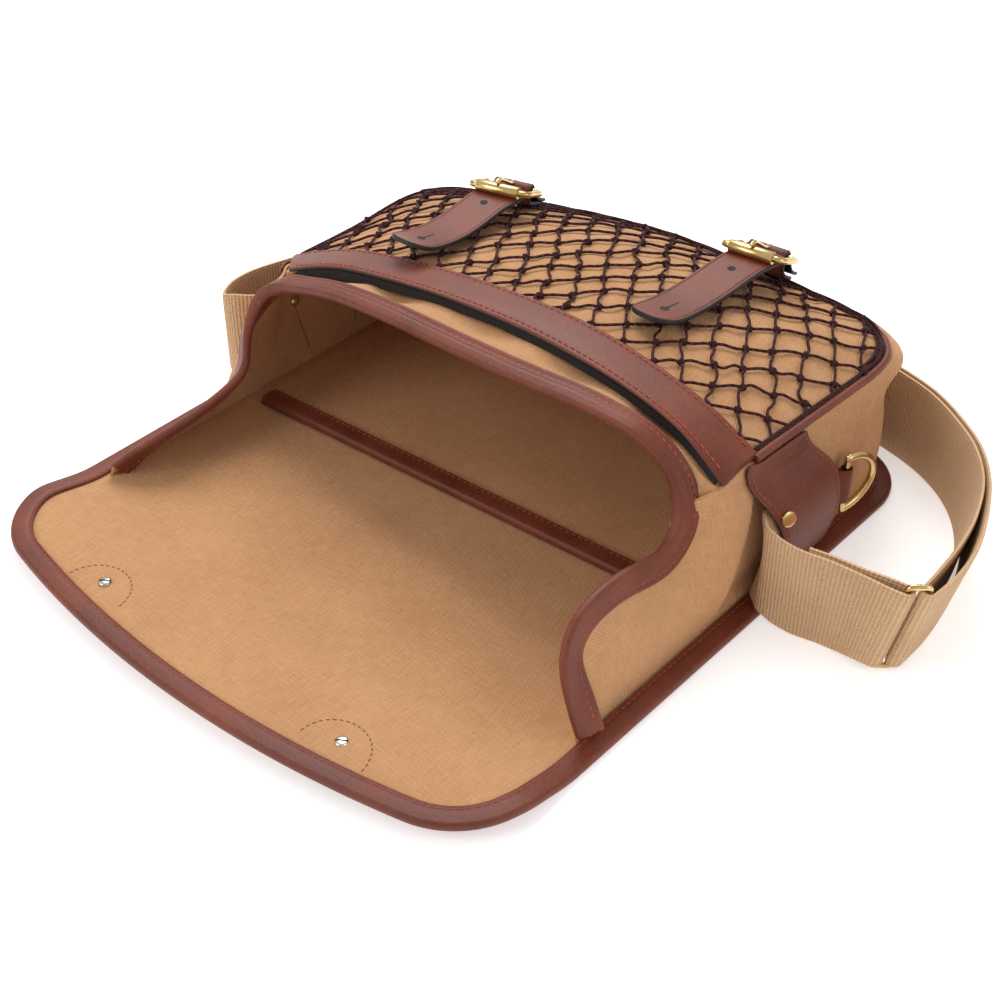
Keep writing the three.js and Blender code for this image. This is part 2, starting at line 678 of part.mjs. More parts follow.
// Distance of the gusset's outer face from the middle plane at (y, z).
function sideFace(side, y, z) {
  const top = Math.abs(frontEdge(side, y));
  const crest = sideCrest(side, y);
  const straight = 1 - STRAIGHT_TOP / (crest - SEAM_HEIGHT);
  const part = (z - SEAM_HEIGHT) / (crest - SEAM_HEIGHT);
  return lerp(SEAM_X, top, part) + bulgeAt(y) * Math.sin(Math.PI * Math.min(part / straight, 1));
}

// The tab is sewn down along its top and stands off below, over the webbing's end and the ring loop.
function tabUnder(side, y, z) {
  return sideFace(side, y, z) + TAB_SEWN + TAB_OFF * (1 - smoothstep(z, 58, 69));
}

function buildTabs(side) {
  const sign = SIDES[side];
  const shift = tabShift(side);
  const highest = sideCrest(side, TAB_MIDDLE + shift) - TAB_BELOW_PIPING;
  const sections = TAB_ROWS.map(({ z: height, mouth, far }) => {
    const z = Math.min(height, highest);
    const across = arc(mouth + shift, far + shift, 4);
    const back = across.map((y) => point(sign * tabUnder(side, y, z), y, z));
    return strip(back, back.map((p) => p.clone().setX(p.x + sign * TAB_THICK)));
  });
  add(`side_tab_${side}`, loft(sections), LEATHER_BROWN);

  const rivet = RIVETS[side];
  const outside = tabUnder(side, rivet.y, rivet.z) + TAB_THICK + RIVET_GAP - RIVET_HEAD / 2;
  const head = new THREE.CylinderGeometry(RIVET_RADIUS, RIVET_RADIUS, RIVET_HEAD, 12).rotateZ(Math.PI / 2);
  add(`rivet_${side}`, head.translate(sign * outside, rivet.y, rivet.z), BRASS);
  const profile = RIVET_DOME.map(([radius, height]) => new THREE.Vector2(radius, height));
  const inside = sideFace(side, rivet.y, rivet.z) - CANVAS - INSIDE_GAP;
  const cap = new THREE.LatheGeometry(profile, 10).rotateZ((sign * Math.PI) / 2);
  add(`rivet_inside_${side}`, cap.translate(sign * inside, rivet.y, rivet.z), BRASS);

  const barX = sideFace(side, D_BAR.y + shift, D_BAR.z) + D_BAR.out;
  const centre = point(sign * barX, D_BAR.y + shift, D_BAR.z);
  const swing = degToRad(D_SWING[side]);
  const reach = point(sign * Math.sin(swing), Math.cos(swing), 0);
  const bow = arc(90, -90, 12).map((degrees) => [
    D_REACH * Math.cos(degToRad(degrees)), D_BAR_HALF * Math.sin(degToRad(degrees)),
  ]);
  const straight = [-0.6, -0.2, 0.2, 0.6].map((part) => [0, part * D_BAR_HALF]);
  add(`d_ring_${side}`, wireLoop(centre, reach, point(0, 0, 1), [...bow, ...straight], D_WIRE), BRASS);

  const wrap = D_WIRE + GAP + LOOP_THICK / 2;
  const route = LOOP_LEGS.map((back) => ({ y: -back, off: LOOP_OFF }));
  for (const degrees of arc(-130, 130, 9)) {
    const [x, y] = [wrap * Math.sin(degToRad(degrees)), wrap * Math.cos(degToRad(degrees))];
    route.push({ y, off: D_BAR.out + x, round: true });
  }
  const upperOff = LOOP_OFF + LOOP_THICK + GAP;
  route.push(...LOOP_LEGS.slice().reverse().map((back) => ({ y: -back, off: upperOff })));
  const levels = arc(-LOOP_HALF, LOOP_HALF, 3).map((level) => D_BAR.z + level);
  const loop = route.map(({ y, off, round }, i) => {
    const ahead = route[Math.min(i + 1, route.length - 1)];
    const behind = route[Math.max(i - 1, 0)];
    const length = Math.hypot(ahead.off - behind.off, ahead.y - behind.y);
    const half = LOOP_THICK / 2 / length;
    const [nx, ny] = [(ahead.y - behind.y) * half, (behind.off - ahead.off) * half];
    const at = (turn) => (z) => {
      const face = round ? barX - D_BAR.out : sideFace(side, D_BAR.y + shift + y, z);
      return point(sign * (face + off + turn * nx), D_BAR.y + shift + y + turn * ny, z);
    };
    return strip(levels.map(at(1)), levels.map(at(-1)));
  });
  add(`ring_loop_${side}`, loft(loop), LEATHER_BROWN);
}

// Shoulder strap

const WEB_LEVELS = arc(0, WEB_WIDTH, 4);
const WEB_FOOT = 5.5;
const WEB_OFF = 1.7;

// Webbing on edge: route gives its lower edge, lean is how far the top stands over, and hug is how
// far the webbing follows the bulge of the gusset behind it.
function webbing(side, route) {
  const sections = route.map(({ x, y, z, lean = [0, 0], hug = 0 }, i) => {
    const ahead = route[Math.min(i + 1, route.length - 1)];
    const behind = route[Math.max(i - 1, 0)];
    const length = Math.hypot(ahead.x - behind.x, ahead.y - behind.y);
    const half = WEB_THICK / 2 / length;
    const [nx, ny] = [(ahead.y - behind.y) * half, (behind.x - ahead.x) * half];
    const rows = WEB_LEVELS.map((level) => {
      const part = level / WEB_WIDTH;
      const out = hug * (sideFace(side, y, z + level) - sideFace(side, y, z));
      return point(x + lean[0] * part + SIDES[side] * out, y + lean[1] * part, z + level);
    });
    const face = rows.map((p) => p.clone().add(point(nx, ny, 0)));
    return strip(face, rows.map((p) => p.clone().sub(point(nx, ny, 0))));
  });
  return loft(sections);
}

// The stretch that lies against the gusset under a side tab, at the given y.
function underTab(side, rows) {
  return rows.map((y) => {
    const x = SIDES[side] * (sideFace(side, y, WEB_FOOT) + WEB_OFF);
    return { x, y, z: WEB_FOOT, hug: 1 };
  });
}

const RING_LEAN = [11, -1];
const RING_FOOT = 3.8;
const RING_ROOM = 0.4;
const RING_CORNER = 2;
const SLIDE = { x: 82, half: 7, frame: 1.4, low: 1.2, webFoot: 3.4 };
const SHORT_BAR = { x: 220.5, y: -1 };
const LONG_BAR = { x: 227.8, y: 5.2 };
const BAR_WRAP = RING_WIRE + GAP + WEB_THICK / 2;

function wrapBar({ x, y }, from, to) {
  return arc(from, to, 6).map((degrees) => ({
    x: x + BAR_WRAP * Math.cos(degToRad(degrees)),
    y: y + BAR_WRAP * Math.sin(degToRad(degrees)),
    z: RING_FOOT, lean: RING_LEAN,
  }));
}

function buildStrap() {
  const short = [
    ...underTab("right", [34, 26, 18, 11, 5, 0]),
    { x: 157.6, y: -4, z: WEB_FOOT, hug: 0.65 },
    { x: 161, y: -7, z: WEB_FOOT, hug: 0.25 },
    { x: 165.5, y: -8.4, z: 5.2 },
    { x: 171, y: -8, z: 3 },
    { x: 180, y: -6, z: 0.6 },
    { x: 192, y: -3.6, z: 0.6, lean: [2, 0] },
    { x: 204, y: -3, z: 1.5, lean: [6, -0.5] },
    { x: 213, y: -3.9, z: 3, lean: [9, -1] },
    ...wrapBar(SHORT_BAR, -90, 90),
    { x: 212, y: 1, z: RING_FOOT, lean: [9, -1] },
    { x: 204, y: 0.2, z: 2.4, lean: [6, -0.5] },
    { x: 192, y: -0.6, z: 1.2, lean: [2, 0] },
    { x: 182, y: -2.4, z: 1 },
  ];
  add("strap_end", webbing("right", short), WEBBING_SAND);

  const across = point(LONG_BAR.x - SHORT_BAR.x, LONG_BAR.y - SHORT_BAR.y, 0);
  const halfSpan = across.length() / 2;
  const up = point(RING_LEAN[0], RING_LEAN[1], WEB_WIDTH).normalize();
  const middle = point((SHORT_BAR.x + LONG_BAR.x) / 2, (SHORT_BAR.y + LONG_BAR.y) / 2, RING_FOOT);
  const webHalf = WEB_WIDTH / 2 / up.z;
  middle.addScaledVector(up, webHalf);
  const ring = roundRectangle(halfSpan, webHalf + RING_WIRE + RING_ROOM, RING_CORNER, 3);
  add("strap_ring", wireLoop(middle, across.normalize(), up, ring, RING_WIRE), BRASS);

  // Outer layer from the left tab round the bottom of the bag to the ring, and back inside it
  const outer = [
    { x: 229.8, y: 25, z: 1.5, lean: [12, 0], apart: 8 },
    { x: 227, y: 46, z: 0.6, lean: [12, 0], apart: 7.5 },
    { x: 222.5, y: 68, z: 0.6, lean: [9, 1], apart: 5 },
    { x: 214, y: 92, z: 0.6, lean: [5, 3], apart: 3.1 },
    { x: 201, y: 114, z: 0.6, lean: [2, 2], apart: 2.9 },
    { x: 184, y: 131, z: 0.6, apart: 2.9 },
    { x: 163, y: 143, z: 0.6, apart: 2.9 },
    { x: 140, y: 150, z: 0.6, apart: 2.9 },
    { x: 112, y: 154, z: 1.5, apart: 2.9 },
    { x: 92, y: 155, z: 3.4, apart: 4.6 },
    { x: 72, y: 155, z: 3.4, apart: 4.6 },
  ];
  const inner = outer.map(({ x, y, z, lean, apart }, i) => {
    const ahead = outer[Math.min(i + 1, outer.length - 1)];
    const behind = outer[Math.max(i - 1, 0)];
    const length = Math.hypot(ahead.x - behind.x, ahead.y - behind.y);
    const [nx, ny] = [(behind.y - ahead.y) / length, (ahead.x - behind.x) / length];
    return { x: x + apart * nx, y: y + apart * ny, z, lean };
  });
  const leftRun = [
    { x: -157.5, y: -19, z: WEB_FOOT, hug: 0.6 },
    { x: -161.5, y: -26, z: WEB_FOOT, hug: 0.2 },
    { x: -167.5, y: -31, z: 5.2 },
    { x: -175, y: -31, z: 2.5 },
    { x: -181, y: -25, z: 0.6 },
    { x: -184.5, y: -15, z: 0.6 },
    { x: -184, y: 0, z: 0.6 },
    { x: -178, y: 21, z: 0.6 },
    { x: -171, y: 42, z: 0.6 },
    { x: -168, y: 66, z: 0.6 },
    { x: -168, y: 96, z: 0.6 },
    { x: -166, y: 122, z: 0.6 },
    { x: -157, y: 142, z: 0.6 },
    { x: -138, y: 153, z: 0.6 },
    { x: -105, y: 156, z: 0.6 },
    { x: -40, y: 156, z: 0.6 },
    { x: 30, y: 155.5, z: 1.5 },
  ];
  const route = [...underTab("left", [20, 10, 0, -8, -14]), ...leftRun, ...outer.slice().reverse()];
  route.push(...wrapBar(LONG_BAR, 0, -180), ...inner);
  add("shoulder_strap", webbing("left", route), WEBBING_SAND);

  // Slide: a frame round both layers with a bar between them
  const { x: slideX, half: slideHalf, frame, low: lowZ, webFoot } = SLIDE;
  const [inY, outY] = [outer[10].y - outer[10].apart, outer[10].y];
  const [nearY, farY] = [inY - WEB_THICK / 2 - GAP - frame, outY + WEB_THICK / 2 + GAP + frame];
  const highZ = webFoot + WEB_WIDTH + GAP + frame;
  const block = (y0, y1, z0, z1, half) =>
    new THREE.BoxGeometry(2 * half, y1 - y0, z1 - z0).translate(slideX, (y0 + y1) / 2, (z0 + z1) / 2);
  const slot = (y) => {
    const half = WEB_THICK / 2 + GAP;
    return block(y - half, y + half, lowZ + frame, highZ - frame, slideHalf + 1);
  };
  add("strap_slide", cut(block(nearY, farY, lowZ, highZ, slideHalf), slot(inY), slot(outY)), BRASS);
}

// Keyhole straps and roller buckles

// Each strap's middle line from its tip to its tail under the roller, the buckle's two bars, and the
// chape that holds the buckle, upper layer and then lower layer.
const BUCKLES = {
  right: {
    x: 70, turn: 4,
    strap: [
      [33, 109.2], [47, 109], [59, 108.4], [72, 108], [85, 107.8], [96, 107.7], [105, 107.6], [112, 107.4],
      [118, 107],
    ],
    roller: { y: 105, z: 112.5 }, hinge: { y: 125.5, z: 104 },
    upper: [[139, 86.8], [136, 88.8], [132.4, 93], [130, 98]],
    lower: [[121.8, 99.5], [123.4, 95], [127.5, 90.6], [132.5, 87.6]],
  },
  left: {
    x: -71.5, turn: -4,
    strap: [
      [16, 105], [29, 104.4], [39, 104], [49, 103.6], [60, 103.6], [69, 104], [76, 104.3], [83, 104.4],
      [89, 104.1],
    ],
    roller: { y: 76, z: 109.1 }, hinge: { y: 97, z: 102.5 },
    upper: [[136, 79.6], [126, 85.4], [116, 90.4], [107, 94.8], [102, 98]],
    lower: [[93.6, 98.6], [97, 95.9], [106, 91.7], [116, 87.1], [126, 82.1]],
  },
};
const STRAP_THICK = 2.4;
const CHAPE_THICK = 1.8;
const FRAME_WIRE = 1.7;
const FRAME_HALF = 16.5;
const ROLLER_OUT = 3.3;
const KEYHOLE_FROM_TIP = 12;
const HOLE_FROM_TIP = 50;
const KEYHOLE_RADIUS = 2.2;
const HOLE_RADIUS = 1.8;
const SLIT = { width: 1.2, length: 9 };
const DRILL_LENGTH = 20;
// The strap's rounded tip: distance from the tip, and share of the full half width there
const TIP_SHAPE = [[0, 0.35], [2, 0.66], [5, 0.88], [9, 0.98]];
const ROLLER_HALF = 12;
const PRONG_WIRE = 1.2;
const CHAPE_HALF = 11;
const PRONG_SLOT = { width: 4, length: 11, height: 14, back: 1, up: 3.4 };

function drill(radius, x, y, z) {
  return new THREE.CylinderGeometry(radius, radius, DRILL_LENGTH, 10).rotateX(Math.PI / 2).translate(x, y, z);
}

function buildBuckle(side) {
  const { x, turn, strap, roller, hinge, upper, lower } = BUCKLES[side];
  const tip = strap[0];
  const half = BUCKLE_STRAP / 2;
  const tapered = TIP_SHAPE.map(([back, share]) => ({
    y: tip[0] + back, z: lerp(tip[1], strap[1][1], back / (strap[1][0] - tip[0])), half: share * half,
  }));
  const rows = [...tapered, ...strap.slice(1).map(([y, z]) => ({ y, z, half }))];
  const length = roller.y - tip[0];
  const aim = (y) => turn * ((y - roller.y) / length);
  const leather = ribbon(x, rows.map((row) => ({ ...row, slide: aim(row.y) })), STRAP_THICK);
  const keyY = tip[0] + KEYHOLE_FROM_TIP;
  const keyX = x + aim(keyY);
  const slit = new THREE.BoxGeometry(SLIT.width, SLIT.length, DRILL_LENGTH);
  slit.translate(keyX, keyY + SLIT.length / 2, tip[1]);
  const holeY = tip[0] + HOLE_FROM_TIP;
  const hole = drill(HOLE_RADIUS, x + aim(holeY), holeY, tip[1]);
  const eye = drill(KEYHOLE_RADIUS, keyX, keyY, tip[1]);
  add(`keyhole_strap_${side}`, cut(leather, eye, slit, hole), LEATHER_BROWN);

  const along = point(0, roller.y - hinge.y, roller.z - hinge.z);
  const halfLength = along.length() / 2;
  const centre = point(x, (roller.y + hinge.y) / 2, (roller.z + hinge.z) / 2);
  const outline = roundRectangle(FRAME_HALF, halfLength, 4, 3);
  along.normalize();
  add(`buckle_frame_${side}`, wireLoop(centre, point(1, 0, 0), along, outline, FRAME_WIRE), BRASS);
  const bore = FRAME_WIRE + GAP;
  const [near, far] = [-ROLLER_HALF, ROLLER_HALF];
  const wall = [[bore, near], [ROLLER_OUT, near], [ROLLER_OUT, far], [bore, far], [bore, near]];
  const sleeve = new THREE.LatheGeometry(wall.map(([r, h]) => new THREE.Vector2(r, h)), 12);
  add(`buckle_roller_${side}`, sleeve.rotateZ(-Math.PI / 2).translate(x, roller.y, roller.z), BRASS);

  const reach = FRAME_WIRE + GAP + PRONG_WIRE;
  const prong = [
    point(x, hinge.y + reach, hinge.z),
    point(x, hinge.y + 0.5 * reach, hinge.z + 0.95 * reach),
    point(x, hinge.y - 4, hinge.z + reach + 1.2),
    point(x, lerp(hinge.y, roller.y, 0.6), lerp(hinge.z, roller.z, 0.6) + 4.4),
    point(x, roller.y, roller.z + ROLLER_OUT + 1.6),
    point(x, roller.y - 5, roller.z + ROLLER_OUT + 2.2),
  ];
  add(`buckle_prong_${side}`, bar(prong, PRONG_WIRE, 14), BRASS);

  const wrap = FRAME_WIRE + GAP + CHAPE_THICK / 2;
  const round = arc(-15, 180, 7).map((degrees) => [
    hinge.y + wrap * Math.cos(degToRad(degrees)), hinge.z + wrap * Math.sin(degToRad(degrees)),
  ]);
  const fold = [...upper, ...round, ...lower].map(([y, z]) => ({ y, z, half: CHAPE_HALF }));
  const { width, length: slotLength, height, back, up } = PRONG_SLOT;
  const window = new THREE.BoxGeometry(width, slotLength, height);
  window.translate(x, hinge.y - back, hinge.z + up);
  add(`buckle_chape_${side}`, cut(ribbon(x, fold, CHAPE_THICK), window), LEATHER_BROWN);
}

// Studs on the flap

const PATCH_RADIUS = 20.5;
const PATCH_Y = -206;
const PATCH_THICK = 1.6;
const STUD_KNOB = [[0, 0], [2.6, 0.3], [3.6, 1.8], [2.9, 3.2], [1.9, 3.8]];
const SCREW = { top: 2.8, foot: 3.2, height: 1.4, slot: 0.9, turn: 35 };

function buildStud(side) {
  const x = SIDES[side] * STUD_X;
  const under = EDGE_LIFT + STUD_RISE;
  const half = new THREE.Shape().absarc(0, 0, PATCH_RADIUS, 0, Math.PI);
  const settings = { depth: PATCH_THICK, curveSegments: 16, bevelEnabled: false };
  const patch = new THREE.ExtrudeGeometry(half, settings);
  const patchUnder = under - GAP - PATCH_THICK;
  add(`stud_patch_${side}`, patch.translate(x, PATCH_Y, patchUnder), LEATHER_BROWN);
  const top = patchUnder - GAP;
  const foot = [[2, top - 1], [5, top - 0.8], [5, top], [0, top]];
  const profile = [...STUD_KNOB, ...foot].map(([radius, height]) => new THREE.Vector2(radius, height));
  const stud = new THREE.LatheGeometry(profile, 14).rotateX(Math.PI / 2);
  add(`stud_${side}`, stud.translate(x, STUD_Y, 0), BRASS);
  const above = under + CANVAS + GAP;
  const head = new THREE.CylinderGeometry(SCREW.top, SCREW.foot, SCREW.height, 14).rotateX(Math.PI / 2);
  const slot = new THREE.BoxGeometry(8, SCREW.slot, 1.2).rotateZ(degToRad(SCREW.turn));
  slot.translate(0, 0, SCREW.slot);
  add(`stud_screw_${side}`, cut(head, slot).translate(x, STUD_Y, above + SCREW.height / 2), NICKEL);
}

// Inner pocket on the back panel

const INNER_HALF = 143;
const INNER_MOUTH = -30;
const INNER_FAR = 112;
const INNER_UNDER = 3.5;
const INNER_THICK = 1.4;
const INNER_LEATHER = 1;
const INNER_BINDING_HALF = 133;

function buildInnerPocket() {
  const sections = [INNER_MOUTH, 20, 70, INNER_FAR].map((y) => {
    const under = [-INNER_HALF, 0, INNER_HALF].map((x) => point(x, y, INNER_UNDER));
    return strip(under, under.map((p) => p.clone().setZ(INNER_UNDER + INNER_THICK)));
  });
  add("inner_pocket", loft(sections), CANVAS_TAN);
  const edge = arc(-INNER_BINDING_HALF, INNER_BINDING_HALF, 4).map((x) =>
    bindingSection(point(x, INNER_MOUTH, INNER_UNDER + INNER_THICK / 2), point(0, 1, 0), point(0, 0, 1), {
      width: INNER_BINDING_WIDTH, cloth: INNER_THICK, leather: INNER_LEATHER,
    }),
  );
  add("inner_pocket_binding", loft(edge), LEATHER_BROWN);
}

buildSheet();
buildFront();
buildGusset();
buildRim();
buildStrap();
buildInnerPocket();
for (const side of Object.keys(SIDES)) {
  buildTabs(side);
  buildBuckle(side);
  buildStud(side);
}

export default bag;
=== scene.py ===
"""The looks of the game bag: canvas, leather, net, webbing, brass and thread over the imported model."""

import bpy
import numpy as np
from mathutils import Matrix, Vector


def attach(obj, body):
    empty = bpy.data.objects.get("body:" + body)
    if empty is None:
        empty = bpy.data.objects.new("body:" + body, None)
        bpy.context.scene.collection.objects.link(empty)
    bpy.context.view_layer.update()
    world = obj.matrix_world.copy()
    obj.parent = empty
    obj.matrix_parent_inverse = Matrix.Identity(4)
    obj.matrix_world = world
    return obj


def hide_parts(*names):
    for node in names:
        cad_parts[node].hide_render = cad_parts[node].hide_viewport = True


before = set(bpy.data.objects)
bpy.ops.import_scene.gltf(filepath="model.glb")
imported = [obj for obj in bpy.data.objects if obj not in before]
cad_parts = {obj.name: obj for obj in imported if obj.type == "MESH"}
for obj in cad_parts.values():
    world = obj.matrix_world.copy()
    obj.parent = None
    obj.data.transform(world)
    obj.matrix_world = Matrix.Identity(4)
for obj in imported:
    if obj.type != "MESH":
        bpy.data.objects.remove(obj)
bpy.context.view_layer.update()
RNG = np.random.default_rng(11)
SIGN = {"right": 1, "left": -1}

# Sizes in millimetres: the solid model's, a few of them set closer to the photograph
CANVAS, LEATHER, GAP, LOOSE_GAP = 1.6, 1.3, 0.3, 0.25
EDGE_LIFT = LEATHER + GAP
SHEET_HALF, SHEET_FAR, FLAP_TIP, FLAP_RADIUS = 163, 138, -226.7, 568
FLAP_CORNER, FAR_CORNER = 46, 36
BINDING_WIDTH, RIM_WIDTH, INNER_WIDTH = 11, 10, 9
STUD_RISE, STUD_X, STUD_Y = 6.5, 79, -198.5
FRONT_HALF = {"right": 148, "left": 150}
FRONT_FAR, FRONT_CORNER = 138, 34
FRONT_X = [-150, -120, -85, -45, 0, 45, 85, 120, 148]
FRONT_Y = [-47, -36, -24, -10, 40, 90, 138]
FRONT_HEIGHTS = [
    [66, 79, 92, 98, 99.5, 100, 100, 90, 50],
    [70, 83, 95.8, 102, 103.6, 104, 104.5, 95.5, 58],
    [70.5, 83, 94.8, 101.2, 104, 105.2, 104, 96.2, 78.5],
    [71, 83, 93.5, 100, 104.5, 106.5, 103, 95.5, 83],
    [70, 84, 93, 99.5, 103, 104.5, 101.5, 93.5, 80.5],
    [71, 80, 88, 94, 98, 99, 97, 90, 77.5],
    [57, 62, 67.5, 75, 81, 81.5, 80.5, 79, 76],
]
RIM_Y, RIM_BOW, RIM_SPAN = -37.5, 6.5, 135
# How far the sides draw in at the mouth, and the stretch over which they do
MOUTH_NARROWING = {"right": (11, -20, -39.5), "left": (19, 0, -36)}
PANEL_INSET, POCKET_INSET, BAND_INSET = 0.5, 3.2, 0.6
SEAM_INSET, SEAM_HEIGHT = 12, 3.5
SEAM_X = SHEET_HALF - SEAM_INSET
PIPING_RADIUS, PIPING_START = 2.1, 4
BAND_MOUTH, BAND_WIDTH, BAND_THICK, BAND_GAP, BAND_LEFT = -24, 25.5, 2.6, 0.5, -130
BAND_ROWS = (3.0, 22.7)
STRAIGHT_TOP, ROW_INSET = 9.5, 1.9
WEB_WIDTH, WEB_THICK, WEB_FOOT, RING_WIRE = 50, 2.4, 5.5, 1.6
TAB_THICK = 2.2
LEFT_TAB_SHIFT = -12


# Small mathematics

def ease(value, low, high):
    """A smooth step: 0 below low, 1 above high, 3t^2 - 2t^3 between."""
    t = np.clip((np.asarray(value, float) - low) / (high - low), 0, 1)
    return t * t * (3 - 2 * t)


def hump(value, centre, width):
    """A bell of height 1: exp of minus the squared distance from the centre in widths."""
    return np.exp(-(((value - centre) / width) ** 2))


def unit(vectors):
    """Each vector divided by its length."""
    return vectors / np.maximum(np.linalg.norm(vectors, axis=-1, keepdims=True), 1e-9)


def stack(*columns):
    """Columns spread to one shape and set side by side on a new last axis."""
    return np.stack(np.broadcast_arrays(*[np.asarray(c, float) for c in columns]), -1)


def curve_through(nodes, values, at):
    """A cubic through values at the nodes, with central slopes; values may vary over the places too."""
    nodes, at, values = (np.asarray(a, float) for a in (nodes, at, values))
    values = values.reshape(values.shape + (1,) * (at.ndim + 1 - values.ndim)) * np.ones(at.shape)
    index = np.arange(len(nodes))
    ahead, behind = np.minimum(index + 1, len(nodes) - 1), np.maximum(index - 1, 0)
    run = (nodes[ahead] - nodes[behind]).reshape((-1,) + (1,) * at.ndim)
    slopes = (values[ahead] - values[behind]) / run
    inside = np.clip(at, nodes[0], nodes[-1])
    i = np.clip(np.searchsorted(nodes, inside, side="right") - 1, 0, len(nodes) - 2)
    pick = lambda table, k: np.take_along_axis(table, k[None], 0)[0]
    span = nodes[i + 1] - nodes[i]
    t = (inside - nodes[i]) / span
    bend = t * (1 - t) * span * (pick(slopes, i) * (1 - t) - pick(slopes, i + 1) * t)
    return pick(values, i) + (pick(values, i + 1) - pick(values, i)) * t * t * (3 - 2 * t) + bend


def distances(path):
    """Distance along a path of points, from 0."""
    return np.concatenate([[0], np.cumsum(np.linalg.norm(np.diff(path, axis=0), axis=1))])


def resample(table, count):
    """A smooth line through the rows of a table, evenly spaced along its first three columns."""
    table = np.asarray(table, float)
    walked = distances(table[:, :3])
    places = np.linspace(0, walked[-1], count)
    return np.stack([curve_through(walked, column, places) for column in table.T], -1)


def smoothed(table, spread):
    """Each column averaged along the rows with a bell of this spread, the ends kept."""
    reach = np.arange(-3 * spread, 3 * spread + 1)
    bell = hump(reach, 0, spread * 1.4)
    before = 2 * table[:1] - table[3 * spread:0:-1]
    after = 2 * table[-1:] - table[-2:-3 * spread - 2:-1]
    padded = np.concatenate([before, table, after])
    return np.stack([np.convolve(column, bell / bell.sum(), "valid") for column in padded.T], -1)


def read_along(table, walked, places):
    """Columns of a table, known at the walked distances, read at places between by straight lines."""
    return np.stack([np.interp(places, walked, column) for column in table.T], -1)


def at_distance(path, places):
    """Points of a path at the given distances along it."""
    return read_along(path, distances(path), places)


def round_turn(sides):
    """Angles of a circle's points, half a step from zero."""
    return 2 * np.pi * (np.arange(sides) + 0.5) / sides


# Meshes

